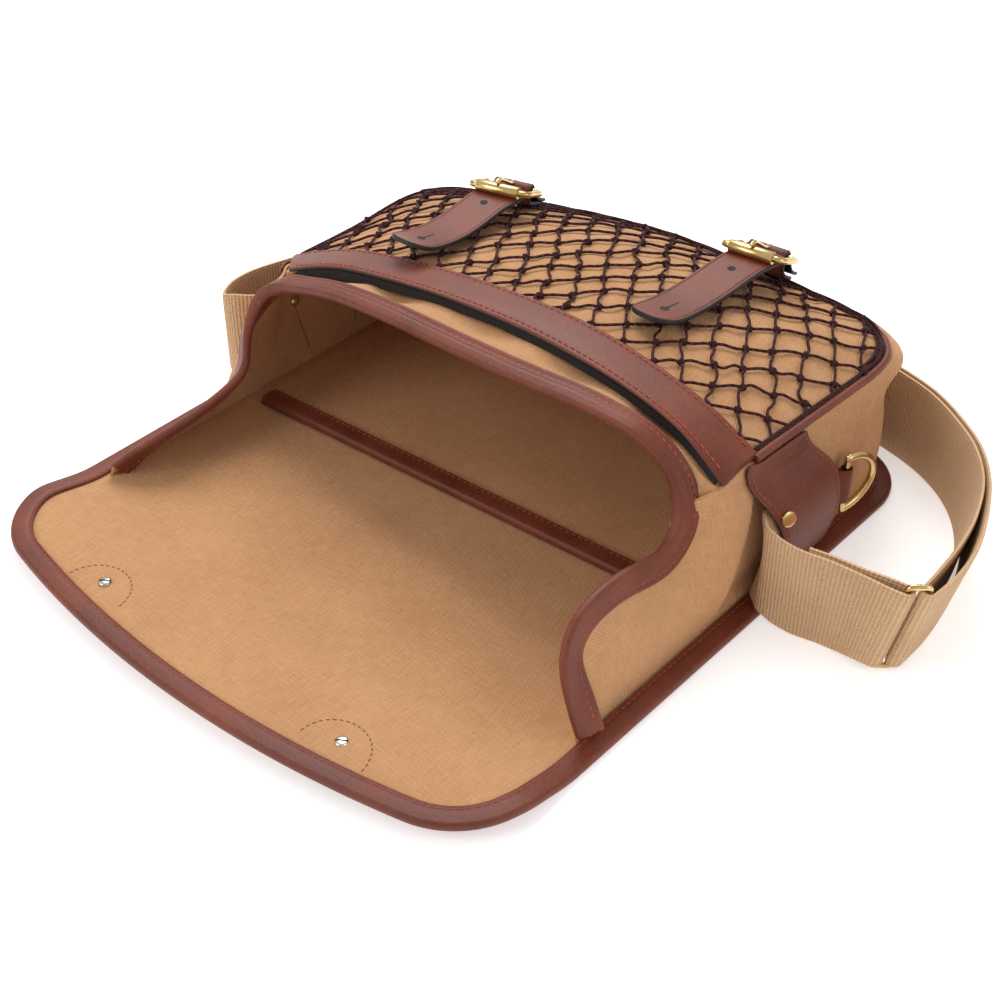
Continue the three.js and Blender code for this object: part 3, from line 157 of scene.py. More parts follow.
class Mesh:
    """Surfaces gathered into one piece, in millimetres, with texture coordinates in centimetres."""

    def __init__(self):
        self.points, self.quads, self.coords, self.finish, self.count = [], [], [], [], 0

    def skin(self, grid, coords=None, loop=False, ring=False, capped=False, finish=0):
        """Quads over a grid of points. loop joins the last row to the first, ring the last column to
        the first, and capped closes both end rows, with point k across from point last - k."""
        rows, cols = grid.shape[:2]
        if coords is None:
            across = distances(np.concatenate([grid[rows // 2], grid[rows // 2, :1]])) / 10
            along = distances(np.concatenate([grid[:, cols // 4], grid[:1, cols // 4]])) / 10
            coords = stack(across[None, :], along[:, None])
        elif ring and coords.shape[1] == cols:
            coords = np.concatenate([coords, coords[:, :1]], 1)
        steps = np.arange(rows if loop else rows - 1), np.arange(cols if ring else cols - 1)
        r, c = np.meshgrid(*steps, indexing="ij")
        corners = [(r, c), (r, c + 1), (r + 1, c + 1), (r + 1, c)]
        quads = [np.stack([(i % rows) * cols + j % cols for i, j in corners], -1).reshape(-1, 4)]
        uv = [np.stack([coords[i, j] for i, j in corners], -2).reshape(-1, 4, 2)]
        finish = np.broadcast_to(finish, r.shape).reshape(-1)
        marks = [finish]
        if capped:
            k = np.arange(cols // 2 - 1)
            far = cols - 1 - k
            first = np.stack([far, far - 1, k + 1, k], -1)
            for cap in (first, (rows - 1) * cols + first[:, ::-1]):
                quads.append(cap)
                uv.append(coords[cap // cols, cap % cols])
                marks.append(finish[:1].repeat(len(cap)))
        self.take(grid.reshape(-1, 3), np.concatenate(quads), np.concatenate(uv), np.concatenate(marks))

    def take(self, points, quads, uv, marks):
        """Adds a closed surface, turned so that its faces look out: its signed volume is made positive."""
        a, b, c, d = (points[quads[:, k]] - points[0] for k in range(4))
        if np.sum(a * (np.cross(b, c) + np.cross(c, d))) < 0:
            quads, uv = quads[:, ::-1], uv[:, ::-1]
        self.points.append(points)
        self.quads.append(quads + self.count)
        self.coords.append(uv)
        self.finish.append(marks)
        self.count += len(points)

    def copies(self, grids, finish=0):
        """Many small closed tubes of one layout: grids counts copies, rows, points round and axes."""
        number, rows, cols = grids.shape[:3]
        one = Mesh()
        one.skin(grids[0], ring=True, capped=True)
        quads = one.quads[0][None] + (np.arange(number) * rows * cols)[:, None, None]
        uv = np.tile(one.coords[0], (number, 1, 1))
        self.take(grids.reshape(-1, 3), quads.reshape(-1, 4), uv, np.full(number * len(one.quads[0]), finish))

    def slab(self, face, back, coords=None, finish=0, edge=None):
        """A closed sheet between two grids of points; edge is the finish of its long sides."""
        grid = np.concatenate([face, back[:, ::-1]], 1)
        if coords is not None:
            coords = np.concatenate([coords, coords[:, ::-1]], 1)
        marks = np.full((len(face) - 1, grid.shape[1]), finish)
        if edge is not None:
            marks[:, [face.shape[1] - 1, -1]] = edge
        self.skin(grid, coords, ring=True, capped=True, finish=marks)

    def sweep(self, centre, across, up, profile, loop=False, finish=0):
        """A closed outline carried along a path: each point is centre + a * across + b * up."""
        a, b = np.moveaxis(np.broadcast_to(profile, (len(centre),) + profile.shape[-2:]), -1, 0)
        grid = centre[:, None] + a[..., None] * across[:, None] + b[..., None] * up[:, None]
        walk = distances(np.concatenate([centre, centre[:1]])) / 10
        rim = distances(np.concatenate([grid[len(grid) // 2], grid[len(grid) // 2, :1]])) / 10
        coords = stack(rim[None, :], walk[: len(grid) + loop, None])
        self.skin(grid, coords, loop=loop, ring=True, capped=not loop, finish=finish)

    def tube(self, path, radius, sides=14, loop=False, plane=(0, 0, 1), finish=0):
        """A round bar along a path; plane is a direction that the path never follows."""
        ahead = np.roll(path, -1, 0) - np.roll(path, 1, 0)
        if not loop:
            ahead = np.gradient(path, axis=0)
        ahead = unit(ahead)
        across = unit(np.cross(ahead, np.asarray(plane, float)))
        up = np.cross(across, ahead)
        turn = round_turn(sides)
        radius = np.broadcast_to(radius, len(path))[:, None]
        self.sweep(path, across, up, stack(radius * np.cos(turn), radius * np.sin(turn)), loop, finish)

    def lathe(self, profile, origin, axis, sides=32, finish=0):
        """A profile of radius and height turned round an axis; its ends stay near the axis."""
        axis = unit(np.asarray(axis, float))
        helper = np.eye(3)[np.argmin(np.abs(axis))]
        first = unit(np.cross(axis, helper))
        second = np.cross(axis, first)
        turn = round_turn(sides)
        radius, height = (np.asarray(c, float)[:, None, None] for c in np.asarray(profile, float).T)
        ring = np.cos(turn)[None, :, None] * first + np.sin(turn)[None, :, None] * second
        grid = np.asarray(origin, float) + radius * ring + height * axis
        self.skin(grid, ring=True, capped=True, finish=finish)


def make(name, mesh, finishes, nodes=(), body="bag", sharp=40):
    """Turns gathered surfaces into a piece that rides on a body and stands for CAD nodes."""
    points, quads = np.concatenate(mesh.points), np.concatenate(mesh.quads)
    uv = np.concatenate(mesh.coords)
    data = bpy.data.meshes.new(name)
    data.from_pydata(points / 1000, [], quads)
    data.uv_layers.new(name="cloth").data.foreach_set("uv", uv.reshape(-1))
    for finish in finishes:
        data.materials.append(finish)
    data.polygons.foreach_set("material_index", np.concatenate(mesh.finish).astype(np.int32))
    data.shade_smooth()
    data.set_sharp_from_angle(angle=np.radians(sharp))
    data.update()
    piece = bpy.data.objects.new(name, data)
    bpy.context.scene.collection.objects.link(piece)
    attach(piece, body)
    if nodes:
        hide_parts(*nodes)
    return piece


# Materials

class Value:
    """A number or colour inside a material; arithmetic on it adds Math nodes."""

    def __init__(self, finish, socket):
        self.finish, self.socket = finish, socket

    def math(self, operation, *others):
        """One Math node on this number and others."""
        return self.finish.node("ShaderNodeMath", {"operation": operation}, dict(enumerate((self, *others))))

    def __add__(self, other):
        return self.math("ADD", other)

    def __sub__(self, other):
        return self.math("SUBTRACT", other)

    def __mul__(self, other):
        return self.math("MULTIPLY", other)

    def __rsub__(self, other):
        return self.math("MULTIPLY", -1.0) + other

    __radd__ = __add__
    __rmul__ = __mul__

    def wave(self, length):
        """Sine of the number, one turn for each length."""
        return (self * (2 * np.pi / length)).math("SINE")

    def between(self, low, high):
        """A smooth step of the number: 0 at low, 1 at high."""
        inputs = {"Value": self, "From Min": low, "From Max": high}
        return self.finish.node("ShaderNodeMapRange", {"interpolation_type": "SMOOTHSTEP"}, inputs)


class Finish:
    """A material on a Principled shader, with helpers that add nodes to it."""

    def __init__(self, name, **constants):
        self.material = bpy.data.materials.new(name)
        self.material.use_nodes = True
        self.tree = self.material.node_tree
        self.shader = self.tree.nodes["Principled BSDF"]
        for socket, value in constants.items():
            self.shader.inputs[socket.replace("_", " ")].default_value = value

    def node(self, kind, settings=None, inputs=None, output=0):
        """A new node with its settings and inputs; gives one of its outputs."""
        made = self.tree.nodes.new(kind)
        for key, value in (settings or {}).items():
            setattr(made, key, value)
        for key, value in (inputs or {}).items():
            self.plug(value, made.inputs[key])
        return Value(self, made.outputs[output])

    def plug(self, value, socket):
        """Links a Value to a socket, or sets a plain number or colour on it."""
        if isinstance(value, Value):
            self.tree.links.new(value.socket, socket)
        else:
            socket.default_value = value

    def place(self):
        """The place on the piece, in metres."""
        return self.node("ShaderNodeTexCoord", output="Object")

    def cloth(self):
        """The piece's own coordinates in millimetres, across and along."""
        pair = self.node("ShaderNodeUVMap", {"uv_map": "cloth"})
        parts = self.tree.nodes.new("ShaderNodeSeparateXYZ")
        self.plug(pair, parts.inputs[0])
        return Value(self, parts.outputs[0]) * 10.0, Value(self, parts.outputs[1]) * 10.0

    def noise(self, scale, detail=3.0, vector=None):
        """Cloudy noise over the piece, or over another vector."""
        inputs = {"Vector": vector or self.place(), "Scale": scale, "Detail": detail, "Roughness": 0.55}
        return self.node("ShaderNodeTexNoise", None, inputs)

    def combine(self, x, y, z=0.0):
        """Three numbers as one vector."""
        return self.node("ShaderNodeCombineXYZ", None, {0: x, 1: y, 2: z})

    def mix(self, share, first, second):
        """A colour between two: the first at share 0, the second at share 1."""
        inputs = {0: share, 6: first, 7: second}
        return self.node("ShaderNodeMix", {"data_type": "RGBA"}, inputs, 2)

    def bump(self, height, distance):
        """Makes a height, in parts of a distance, tilt the surface."""
        inputs = {"Height": height, "Distance": distance, "Strength": 1.0}
        self.plug(self.node("ShaderNodeBump", None, inputs), self.shader.inputs["Normal"])

    def colour(self, value):
        """Sets the base colour."""
        self.plug(value, self.shader.inputs["Base Color"])

    def rough(self, value):
        """Sets the roughness."""
        self.plug(value, self.shader.inputs["Roughness"])


def rgb(red, green, blue):
    """A colour given as display values from 0 to 255."""
    linear = [((c / 255 + 0.055) / 1.055) ** 2.4 if c > 10 else c / 255 / 12.92 for c in (red, green, blue)]
    return (*linear, 1.0)


def canvas_finish():
    """Tan cotton twill: fine diagonal ribs, uneven threads and soft, large changes of tone."""
    f = Finish("canvas", Roughness=0.95, Sheen_Weight=0.05, Sheen_Roughness=0.5)
    across, along = f.cloth()
    ribs = (across + along * 0.55).wave(1.25)
    warp = f.noise(1.0, 1.0, f.combine(across * 1.8, along * 0.1))
    weft = f.noise(1.0, 1.0, f.combine(across * 0.1, along * 1.8))
    threads = warp + weft
    tone = f.noise(16.0, 4.0)
    share = (tone - 0.5) * 0.55 + ribs * 0.07 + (threads - 1.0) * 0.62 + 0.5
    f.colour(f.mix(share.between(0.0, 1.0), rgb(172, 121, 78), rgb(206, 157, 112)))
    f.bump(ribs * 0.5 + threads * 0.6, 0.00015)
    return f.material


def leather_finish(name, dark, light, grain=1.0):
    """Waxed leather: fine pebbled grain, cloudy tone and a soft shine."""
    shine = {"Coat_Weight": 0.05, "Coat_Roughness": 0.4, "Specular_IOR_Level": 0.34}
    f = Finish(name, Sheen_Weight=0.04, Sheen_Roughness=0.4, **shine)
    tone = f.noise(34.0, 4.0)
    pores = f.node("ShaderNodeTexVoronoi", {"feature": "F1"}, {"Vector": f.place(), "Scale": 1500.0})
    fine = f.noise(420.0, 2.0)
    f.colour(f.mix((tone + (fine - 0.5) * 0.3).between(0.15, 0.85), dark, light))
    f.rough(0.4 + tone * 0.22)
    f.bump(pores * 0.6 + fine, 0.00016 * grain)
    return f.material


def thread_finish(name, dark, light):
    """Waxed thread: a twist along each stitch."""
    f = Finish(name, Roughness=0.6)
    across, along = f.cloth()
    twist = (across + along * 1.3).wave(0.9)
    f.colour(f.mix(twist * 0.5 + 0.5, dark, light))
    f.bump(twist, 0.00012)
    return f.material


def cord_finish():
    """Dark twisted net cord, lighter purple on the crests of the twist as a painted highlight."""
    f = Finish("net_cord", Specular_IOR_Level=0.25)
    across, along = f.cloth()
    twist = (across * 1.05 + along).wave(1.9)
    fuzz = f.noise(900.0, 2.0)
    # The lighter purple on the twist's crests is a painted highlight; the fuzz is the cord's own uneven tone.
    share = (twist * 0.3 + 0.35 + (fuzz - 0.5) * 0.8).between(0.0, 1.0)
    f.colour(f.mix(share, rgb(34, 9, 13), rgb(100, 42, 48)))
    f.rough(0.7 + twist * 0.08)
    f.bump(twist + fuzz * 0.5, 0.00035)
    return f.material


def webbing_finish():
    """Sand cotton webbing: a fine basket of small blocks in rows across the strap."""
    f = Finish("webbing", Roughness=0.95, Sheen_Weight=0.05, Sheen_Roughness=0.5)
    across, along = f.cloth()
    basket = along.wave(1.8) * 0.7 + across.wave(1.5) * 0.5
    fibre = f.noise(1.0, 2.0, f.combine(across * 0.25, along * 2.4))
    tone = f.noise(26.0, 3.0)
    share = basket * 0.2 + (fibre - 0.5) * 0.5 + (tone - 0.5) * 0.4 + 0.5
    f.colour(f.mix(share.between(0.0, 1.0), rgb(178, 134, 94), rgb(224, 188, 146)))
    f.bump(basket * 0.8 + fibre * 0.6, 0.0004)
    return f.material


def tape_finish():
    """Black woven tape with a coarse rib."""
    f = Finish("black_tape", Roughness=0.75)
    across, along = f.cloth()
    ribs = along.wave(1.6) * across.wave(1.3)
    f.colour(f.mix(ribs * 0.5 + 0.5, rgb(12, 11, 11), rgb(44, 41, 40)))
    f.bump(ribs, 0.0005)
    return f.material


def metal_finish(name, dark, light, rough):
    """Polished metal with faint stains and fine wear."""
    f = Finish(name, Metallic=1.0)
    tone = f.noise(90.0, 4.0)
    f.colour(f.mix(tone.between(0.3, 0.7), dark, light))
    f.rough(rough + tone * 0.1)
    f.bump(f.noise(700.0, 2.0), 0.00001)
    return f.material


def plain_finish(name, colour, roughness):
    """One colour, for cut edges and for the painted shade inside small holes and slots."""
    return Finish(name, Base_Color=colour, Roughness=roughness).material


CANVAS_MAT = canvas_finish()
LEATHER_MAT = leather_finish("leather", rgb(92, 38, 22), rgb(122, 58, 37))
EDGE_MAT = plain_finish("leather_edge", rgb(24, 20, 19), 0.6)
THREAD_MAT = thread_finish("thread", rgb(146, 52, 34), rgb(206, 96, 68))
DULL_THREAD_MAT = thread_finish("dull_thread", rgb(112, 72, 44), rgb(168, 118, 78))
SAND_THREAD_MAT = thread_finish("sand_thread", rgb(176, 136, 92), rgb(222, 186, 140))
CORD_MAT = cord_finish()
WEB_MAT = webbing_finish()
TAPE_MAT = tape_finish()
BRASS_MAT = metal_finish("brass", rgb(190, 156, 98), rgb(226, 198, 142), 0.18)
NICKEL_MAT = metal_finish("nickel", rgb(176, 170, 160), rgb(226, 220, 208), 0.18)
# Painted shade: a flat dark colour standing for the shade inside the keyholes and the screw slots.
PAINTED_SHADE_MAT = plain_finish("painted_recess_shade", rgb(30, 20, 16), 0.8)


def leather(node, mesh, *more):
    """A leather piece that stands for one node."""
    return make(f"{node}_leather", mesh, [LEATHER_MAT, *more], [node])


def brass(node, mesh, body="bag", sharp=60):
    """A brass piece that stands for one node."""
    return make(f"{node}_brass", mesh, [BRASS_MAT], [node], body, sharp)


def canvas(node, mesh):
    """A canvas piece that stands for one node."""
    return make(f"{node}_cloth", mesh, [CANVAS_MAT], [node])


# Outline of the back panel and flap, one sheet

CENTRE_Y = FLAP_TIP + FLAP_RADIUS
FLAP_CORNER_X = SHEET_HALF - FLAP_CORNER
CORNER_TURN = np.arcsin(FLAP_CORNER_X / (FLAP_RADIUS - FLAP_CORNER))
FLAP_CORNER_Y = CENTRE_Y - (FLAP_RADIUS - FLAP_CORNER) * np.cos(CORNER_TURN)
FAR_CORNER_X, FAR_CORNER_Y = SHEET_HALF - FAR_CORNER, SHEET_FAR - FAR_CORNER


def leg(radius, offset):
    """The other leg of a right triangle with this long side."""
    return np.sqrt(np.maximum(radius**2 - offset**2, 0))


def sheet_ends(x, inset):
    """Where the sheet begins at the flap and ends at the far side, at x: arcs and rounded corners."""
    across = np.abs(x)
    arc = CENTRE_Y - leg(FLAP_RADIUS - inset, across)
    corner = FLAP_CORNER_Y - leg(FLAP_CORNER - inset, across - FLAP_CORNER_X)
    near = np.where(across < (FLAP_RADIUS - inset) * np.sin(CORNER_TURN), arc, corner)
    far = FAR_CORNER_Y + leg(FAR_CORNER - inset, across - FAR_CORNER_X)
    return near, np.where(across < FAR_CORNER_X, SHEET_FAR - inset, far)


def flap_rise(y):
    """The flap's edge lies on its studs: a smooth step up to their height."""
    return STUD_RISE * ease(-140 - y, 0, 42)


def sheet_under(x, y):
    """Underside of the sheet: on its binding near the edge, on the ground in the middle."""
    across = np.abs(x)
    corner = FAR_CORNER - np.hypot(across - FAR_CORNER_X, y - FAR_CORNER_Y)
    in_corner = (across > FAR_CORNER_X) & (y > FAR_CORNER_Y)
    distance = np.where(in_corner, corner, np.minimum(SHEET_HALF - across, SHEET_FAR - y))
    settled = ease(distance, 14, 32) * ease(y, -140, -110)
    return EDGE_LIFT * (1 - settled) + flap_rise(y)


def sheet_folds(x, y):
    """Soft waves of the cloth, as a lift above its plain form: long low ridges across the flap."""
    ridge = 2.0 * hump(y + 0.10 * x, -84, 13) * hump(x, 20, 95)
    second = 1.6 * hump(y - 0.16 * x, -128, 16) * hump(x, -30, 85)
    third = 1.3 * hump(y + 0.25 * x, -172, 18) * hump(x, 35, 70)
    free = ease(SHEET_HALF - np.abs(x), 24, 60) * ease(-y, 44, 62) * ease(y, -214, -196)
    ripple = 0.25 * np.sin(x / 17 + np.sin(y / 23)) * np.sin(y / 13 + 1.2 * np.sin(x / 41))
    return (ridge + second + third + ripple + 0.25) * free


def sheet_top(x, y):
    """Upper face of the sheet: its underside, the cloth's thickness and the folds."""
    return sheet_under(x, y) + CANVAS + sheet_folds(x, y)


def sheet_outline(count):
    """Points round the outer edge of the sheet and their outward directions, from the far middle."""
    def arc(x, y, radius, angles):
        """Points of an arc about x, y, each with its outward direction."""
        ways = stack(np.cos(angles), np.sin(angles))
        return np.concatenate([[x, y] + radius * ways, ways], 1)

    corner = arc(FAR_CORNER_X, FAR_CORNER_Y, FAR_CORNER, np.linspace(np.pi / 2, 0, 40))
    flap = arc(FLAP_CORNER_X, FLAP_CORNER_Y, FLAP_CORNER, np.linspace(0, CORNER_TURN - np.pi / 2, 40))
    tip = arc(0, CENTRE_Y, FLAP_RADIUS, np.linspace(CORNER_TURN, 0, 60)[1:] - np.pi / 2)
    half = np.concatenate([[[0, SHEET_FAR, 0, 1]], corner, flap, tip])
    other = half[-2:0:-1] * [-1, 1, -1, 1]
    whole = np.concatenate([half, other, half[:1]])
    walked = distances(whole[:, :2])
    places = np.linspace(0, walked[-1], count, endpoint=False)
    return read_along(whole, walked, places)


def binding_ring(width, stitch, cloth=CANVAS, leather=LEATHER, gap=GAP, roll=0.0):
    """Outline of a folded leather binding: a rounded U, domed outside, pressed in along the thread.
    First number: distance in from the cloth's edge. Second: height over the cloth's middle."""
    slot = cloth / 2 + gap
    outside, end = slot + leather, gap + leather
    turn = np.linspace(0, np.pi / 2, 7)
    nose = outside * 0.75
    flat = np.linspace(width - 0.4, nose - end, 14)
    dome = 0.28 * np.sin(np.pi * np.clip(flat / width, 0, 1)) - 0.4 * hump(flat, stitch, 0.8)
    dome = dome - roll * hump(flat, 0.47 * width, 0.55)
    outer = np.concatenate([
        [[width, outside - 0.45]],
        stack(flat, outside + dome),
        stack(nose - end - nose * np.sin(turn[1:]), outside * np.cos(turn[1:])),
    ])
    inner_a = np.interp(np.linspace(0, 1, len(outer)), [0, 0.75, 1], [width, -gap, -gap])
    inner_b = slot * np.interp(np.linspace(0, 1, len(outer)), [0, 0.8, 1], [1, 1, 0.1])
    outer[-1, 1] = 0.12
    inner = stack(inner_a, inner_b)
    whole = lambda half: np.concatenate([half, half[::-1] * [1, -1]])
    ring = np.concatenate([whole(outer), whole(inner)[::-1]])
    return np.maximum(ring, [-end, -outside])


def stitches(mesh, path, normal, pitch=3.8, length=3.0, radius=0.45, lift=0.14, finish=0, slant=0.12):
    """A row of thread along a path: one small spindle for each pitch, its ends bowed into the leather."""
    walked = distances(path)[-1]
    number = max(int(round(walked / pitch)), 1)
    places = (np.arange(number) + 0.5) * walked / number
    normal = np.broadcast_to(normal, path.shape)
    middle = at_distance(path, places)
    ahead = unit(at_distance(path, places + 0.8) - at_distance(path, places - 0.8))
    walk = distances(path)
    up = read_along(normal, walk, places)
    up = unit(up - ahead * np.sum(up * ahead, -1, keepdims=True))
    side = np.cross(ahead, up)
    turned = unit(ahead + side * (slant + RNG.normal(0, 0.05, number))[:, None])
    side = np.cross(turned, up)
    part = np.array([-1, -0.72, 0, 0.72, 1])
    thick = radius * np.array([0.35, 0.85, 1, 0.85, 0.35])
    drop = -0.8 * radius * part**4
    turn = round_turn(6)
    run = part * length / 2
    grids = (
        middle[:, None, None]
        + turned[:, None, None] * run[:, None, None]
        + up[:, None, None] * (lift + drop[:, None] + thick[:, None] * np.sin(turn))[..., None]
        + side[:, None, None] * (thick[:, None] * np.cos(turn))[..., None]
    )
    mesh.copies(grids, finish)


def build_sheet():
    """Canvas: a point for each column x and share t between the flap's edge and the far edge."""
    half = SHEET_HALF - EDGE_LIFT
    x = half * np.sin(np.linspace(-np.pi / 2, np.pi / 2, 141))
    near, far = sheet_ends(x, EDGE_LIFT)
    share = np.linspace(0, 1, 190)[:, None]
    y = near + share * (far - near)
    x = np.broadcast_to(x, y.shape)
    mesh = Mesh()
    top = stack(x, y, sheet_top(x, y))
    mesh.slab(top, top - [0, 0, CANVAS], stack(x, y) / 10)
    canvas("back_and_flap", mesh)

    outline = sheet_outline(520)
    inward = stack(-outline[:, 2], -outline[:, 3], 0)
    up = np.broadcast_to([0.0, 0, 1], inward.shape)
    middle = EDGE_LIFT + CANVAS / 2 + flap_rise(outline[:, 1])
    edge = stack(outline[:, 0], outline[:, 1], middle) + inward * EDGE_LIFT
    width = BINDING_WIDTH - EDGE_LIFT
    mesh = Mesh()
    mesh.sweep(edge, inward, up, binding_ring(width, width - ROW_INSET), loop=True)
    leather("edge_binding", mesh)
    outside = CANVAS / 2 + GAP + LEATHER
    mesh = Mesh()
    for side in (1, -1):
        row = edge + inward * (width - ROW_INSET) + up * side * (outside - 0.3)
        stitches(mesh, np.concatenate([row, row[:1]]), [0.0, 0, side])
    make("edge_binding_thread", mesh, [THREAD_MAT])


# Front of the bag

def fullness(x):
    """How full the front is across its width: 1 in the middle, 0 at the sides."""
    return np.maximum(1 - np.abs(x / 150) ** 2.4, 0)


def front(x, y):
    """Height of the filled front: a smooth surface through a short table of heights."""
    x, y = np.broadcast_arrays(np.asarray(x, float), np.asarray(y, float))
    return curve_through(FRONT_Y, [curve_through(FRONT_X, row, x) for row in FRONT_HEIGHTS], y)


def rim_y(x):
    """The front edge of the mouth: a shallow parabola."""
    return RIM_Y - RIM_BOW * (1 - (x / RIM_SPAN) ** 2)


def front_edge(side, y, inset=0.0):
    """The side edge of the front: drawn in at the mouth, rounded at the far corners."""
    y = np.asarray(y, float)
    amount, start, stop = MOUTH_NARROWING[side]
    straight = FRONT_HALF[side] - inset - amount * ease(-y, -start, -stop)
    far_y = FRONT_FAR - FRONT_CORNER
    corner = FRONT_HALF[side] - FRONT_CORNER + leg(FRONT_CORNER - inset, y - far_y)
    return SIGN[side] * np.where(y > far_y, corner, straight)


def across_front(y, inset, count):
    """Rows of x from the left edge of the front to the right one, evenly spaced."""
    share = np.linspace(0, 1, count)
    low, high = front_edge("left", y, inset), front_edge("right", y, inset)
    return low[..., None] + (high - low)[..., None] * share


def across_band(y, inset, count):
    """The same for the pocket's band, whose left mouth corner is cut on a slant."""
    share = np.linspace(0, 1, count)
    low = np.maximum(front_edge("left", y, inset), BAND_LEFT - 0.9 * (y - BAND_MOUTH) + inset)
    return low[..., None] + (front_edge("right", y, inset) - low)[..., None] * share


def pocket_top(x, y):
    """The pocket's outer panel: the front, raised a little along the pocket's mouth."""
    raised = 3 * hump(x, 0, 90) * fullness(x) + 1.8 * hump(x, -104, 26)
    return front(x, y) + raised * (1 - ease(y, BAND_MOUTH, 30))


def pocket_depth(x):
    """How far the front panel lies under the pocket's panel."""
    return 2.6 + 3.4 * fullness(x)


def band_bow(x):
    """How far the pocket's mouth bows away from the bag's mouth in the middle."""
    return 4 * np.maximum(1 - (x / 140) ** 2, 0)


def strip_dents(x, y):
    """Soft dents of the strip in front of the pocket's mouth."""
    dents = [(2.3, -96, 11), (2.1, -50, 12), (1.2, 8, 17), (1.5, 62, 16), (1.8, 108, 12)]
    rises = [(-0.8, -72, 9), (-0.6, 34, 12)]
    depths = sum(depth * hump(x, centre, width) for depth, centre, width in dents + rises)
    return depths * 2 * hump(y, -25, 7)


def mouth_corner(side):
    """The point where the mouth's front edge meets a side."""
    x = front_edge(side, RIM_Y)
    return np.array([x, RIM_Y, front(x, RIM_Y)])


def front_panel_top(x, y):
    """The front, dipping a little to the pocket's mouth and then deep under the pocket."""
    shallow = 3.1 - 3 * hump(x, 0, 90) * fullness(x) + 1.2 * hump(x, -84, 46)
    mouth = BAND_MOUTH + band_bow(x)
    strip = shallow * ease(y, rim_y(x) + RIM_WIDTH + 0.5, mouth - 1) + strip_dents(x, y)
    edge = ease(np.minimum(front_edge("right", y) - x, x - front_edge("left", y)), 0.5, 13)
    free = 1 - (1 - edge) * (1 - ease(y, -27, -21))
    corners = ((2.5, mouth_corner("right")), (2.8, mouth_corner("left")))
    near = sum(dip * hump(np.hypot(x - at[0], y - at[1]), 0, 11) for dip, at in corners)
    return front(x, y) - free * strip - (pocket_depth(x) - shallow) * ease(y, mouth, mouth + 9) - near


FRONT_COLUMNS = 150


def build_front_panel():
    """Canvas: heights over a grid of x and y, from the mouth to the far edge."""
    share = np.linspace(0, 1, 110) ** 1.15
    level = RIM_Y + share * (FRONT_FAR - PANEL_INSET - 1 - RIM_Y)
    x = across_front(level, PANEL_INSET, FRONT_COLUMNS)
    y = level[:, None] + (rim_y(x) - RIM_Y) * (1 - share[:, None])
    top = stack(x, y, front_panel_top(x, y))
    mesh = Mesh()
    mesh.slab(top, top - [0, 0, CANVAS], stack(x, y) / 10)
    canvas("front_panel", mesh)


def build_pocket_panel():
    """Canvas: the pocket's heights over a grid of x and y, with small puffs between the net's cords."""
    level = np.linspace(BAND_MOUTH + 2.2, FRONT_FAR - POCKET_INSET - 0.2, 130)
    x = across_front(level, POCKET_INSET, FRONT_COLUMNS)
    y = level[:, None] + band_bow(x) * np.linspace(1, 0, 130)[:, None]
    puff = 0.5 * np.sin(x / 5.7 + y / 6.1) * np.sin(x / 5.3 - y / 4.4) + 0.3 * np.sin(x / 23 + y / 31)
    top = stack(x, y, pocket_top(x, y) + puff - 0.4)
    mesh = Mesh()
    mesh.slab(top, top - [0, 0, CANVAS], stack(x, y) / 10)
    canvas("pocket_panel", mesh)


def build_band():
    """Leather: a strip over the pocket's mouth, its edges rounded, pressed in along two rows of thread."""
    step = np.array([0, 0.25, 0.8, 1.6, *np.linspace(2.6, 22.9, 16), 23.9, 24.7, 25.25, BAND_WIDTH])
    level = BAND_MOUTH + step
    x = across_band(level, BAND_INSET, FRONT_COLUMNS)
    y = level[:, None] + band_bow(x)
    inside = np.minimum(step, BAND_WIDTH - step)
    rounded = np.interp(inside, [0, 0.25, 0.8, 1.6, 3], [0.8, 0.4, 0.12, 0, 0])[:, None]
    pressed = 0.3 * sum(hump(step, row, 0.8) for row in BAND_ROWS)[:, None]
    base = pocket_top(x, y) + BAND_GAP - 0.6 * ease(np.abs(x), 139, 148)
    dome = 0.35 * np.sin(np.pi * step / BAND_WIDTH)[:, None]
    face = stack(x, y, base + BAND_THICK - rounded - pressed + dome - 0.3)
    mesh = Mesh()
    mesh.slab(np.moveaxis(face, 0, 1), np.moveaxis(stack(x, y, base + 0.5 * rounded), 0, 1), edge=1)
    leather("pocket_band", mesh, EDGE_MAT)
    mesh = Mesh()
    for inset in BAND_ROWS:
        level = np.array([BAND_MOUTH + inset])
        x = across_band(level, POCKET_INSET + 1.5, 200)[0]
        y = level[0] + band_bow(x)
        row = stack(x, y, pocket_top(x, y) + BAND_GAP + BAND_THICK - 0.25)
        stitches(mesh, row, [0.0, 0, 1])
    make("pocket_band_thread", mesh, [THREAD_MAT])


def build_tape():
    """Woven tape: a strip standing under the band's edge, bent down and forwards at its left end."""
    level = np.array([BAND_MOUTH + 1.7])
    x = across_front(level, POCKET_INSET + 1, 200)[0]
    share = np.linspace(0, 1, 9)
    mouth = level[0] + band_bow(x)
    curl = ease(-x, 122, 134)
    high = pocket_top(x, mouth) + BAND_GAP - 0.1 - 4.5 * curl
    low = high - 3.2 - 1.6 * hump(x, -84, 46) - 1.2 * curl
    z = low[:, None] + (high - low)[:, None] * share
    wave = 0.3 * np.sin(x / 6.1)[:, None] * (1 - share)
    face = stack(x[:, None], mouth[:, None] - 2.6 - 5 * curl[:, None] + wave + 0.8 * share, z)
    mesh = Mesh()
    mesh.slab(face, face + [0, 1.3, 0])
    make("pocket_mouth_tape_weave", mesh, [TAPE_MAT], ["pocket_mouth_tape"])


# Gusset, rim and piping

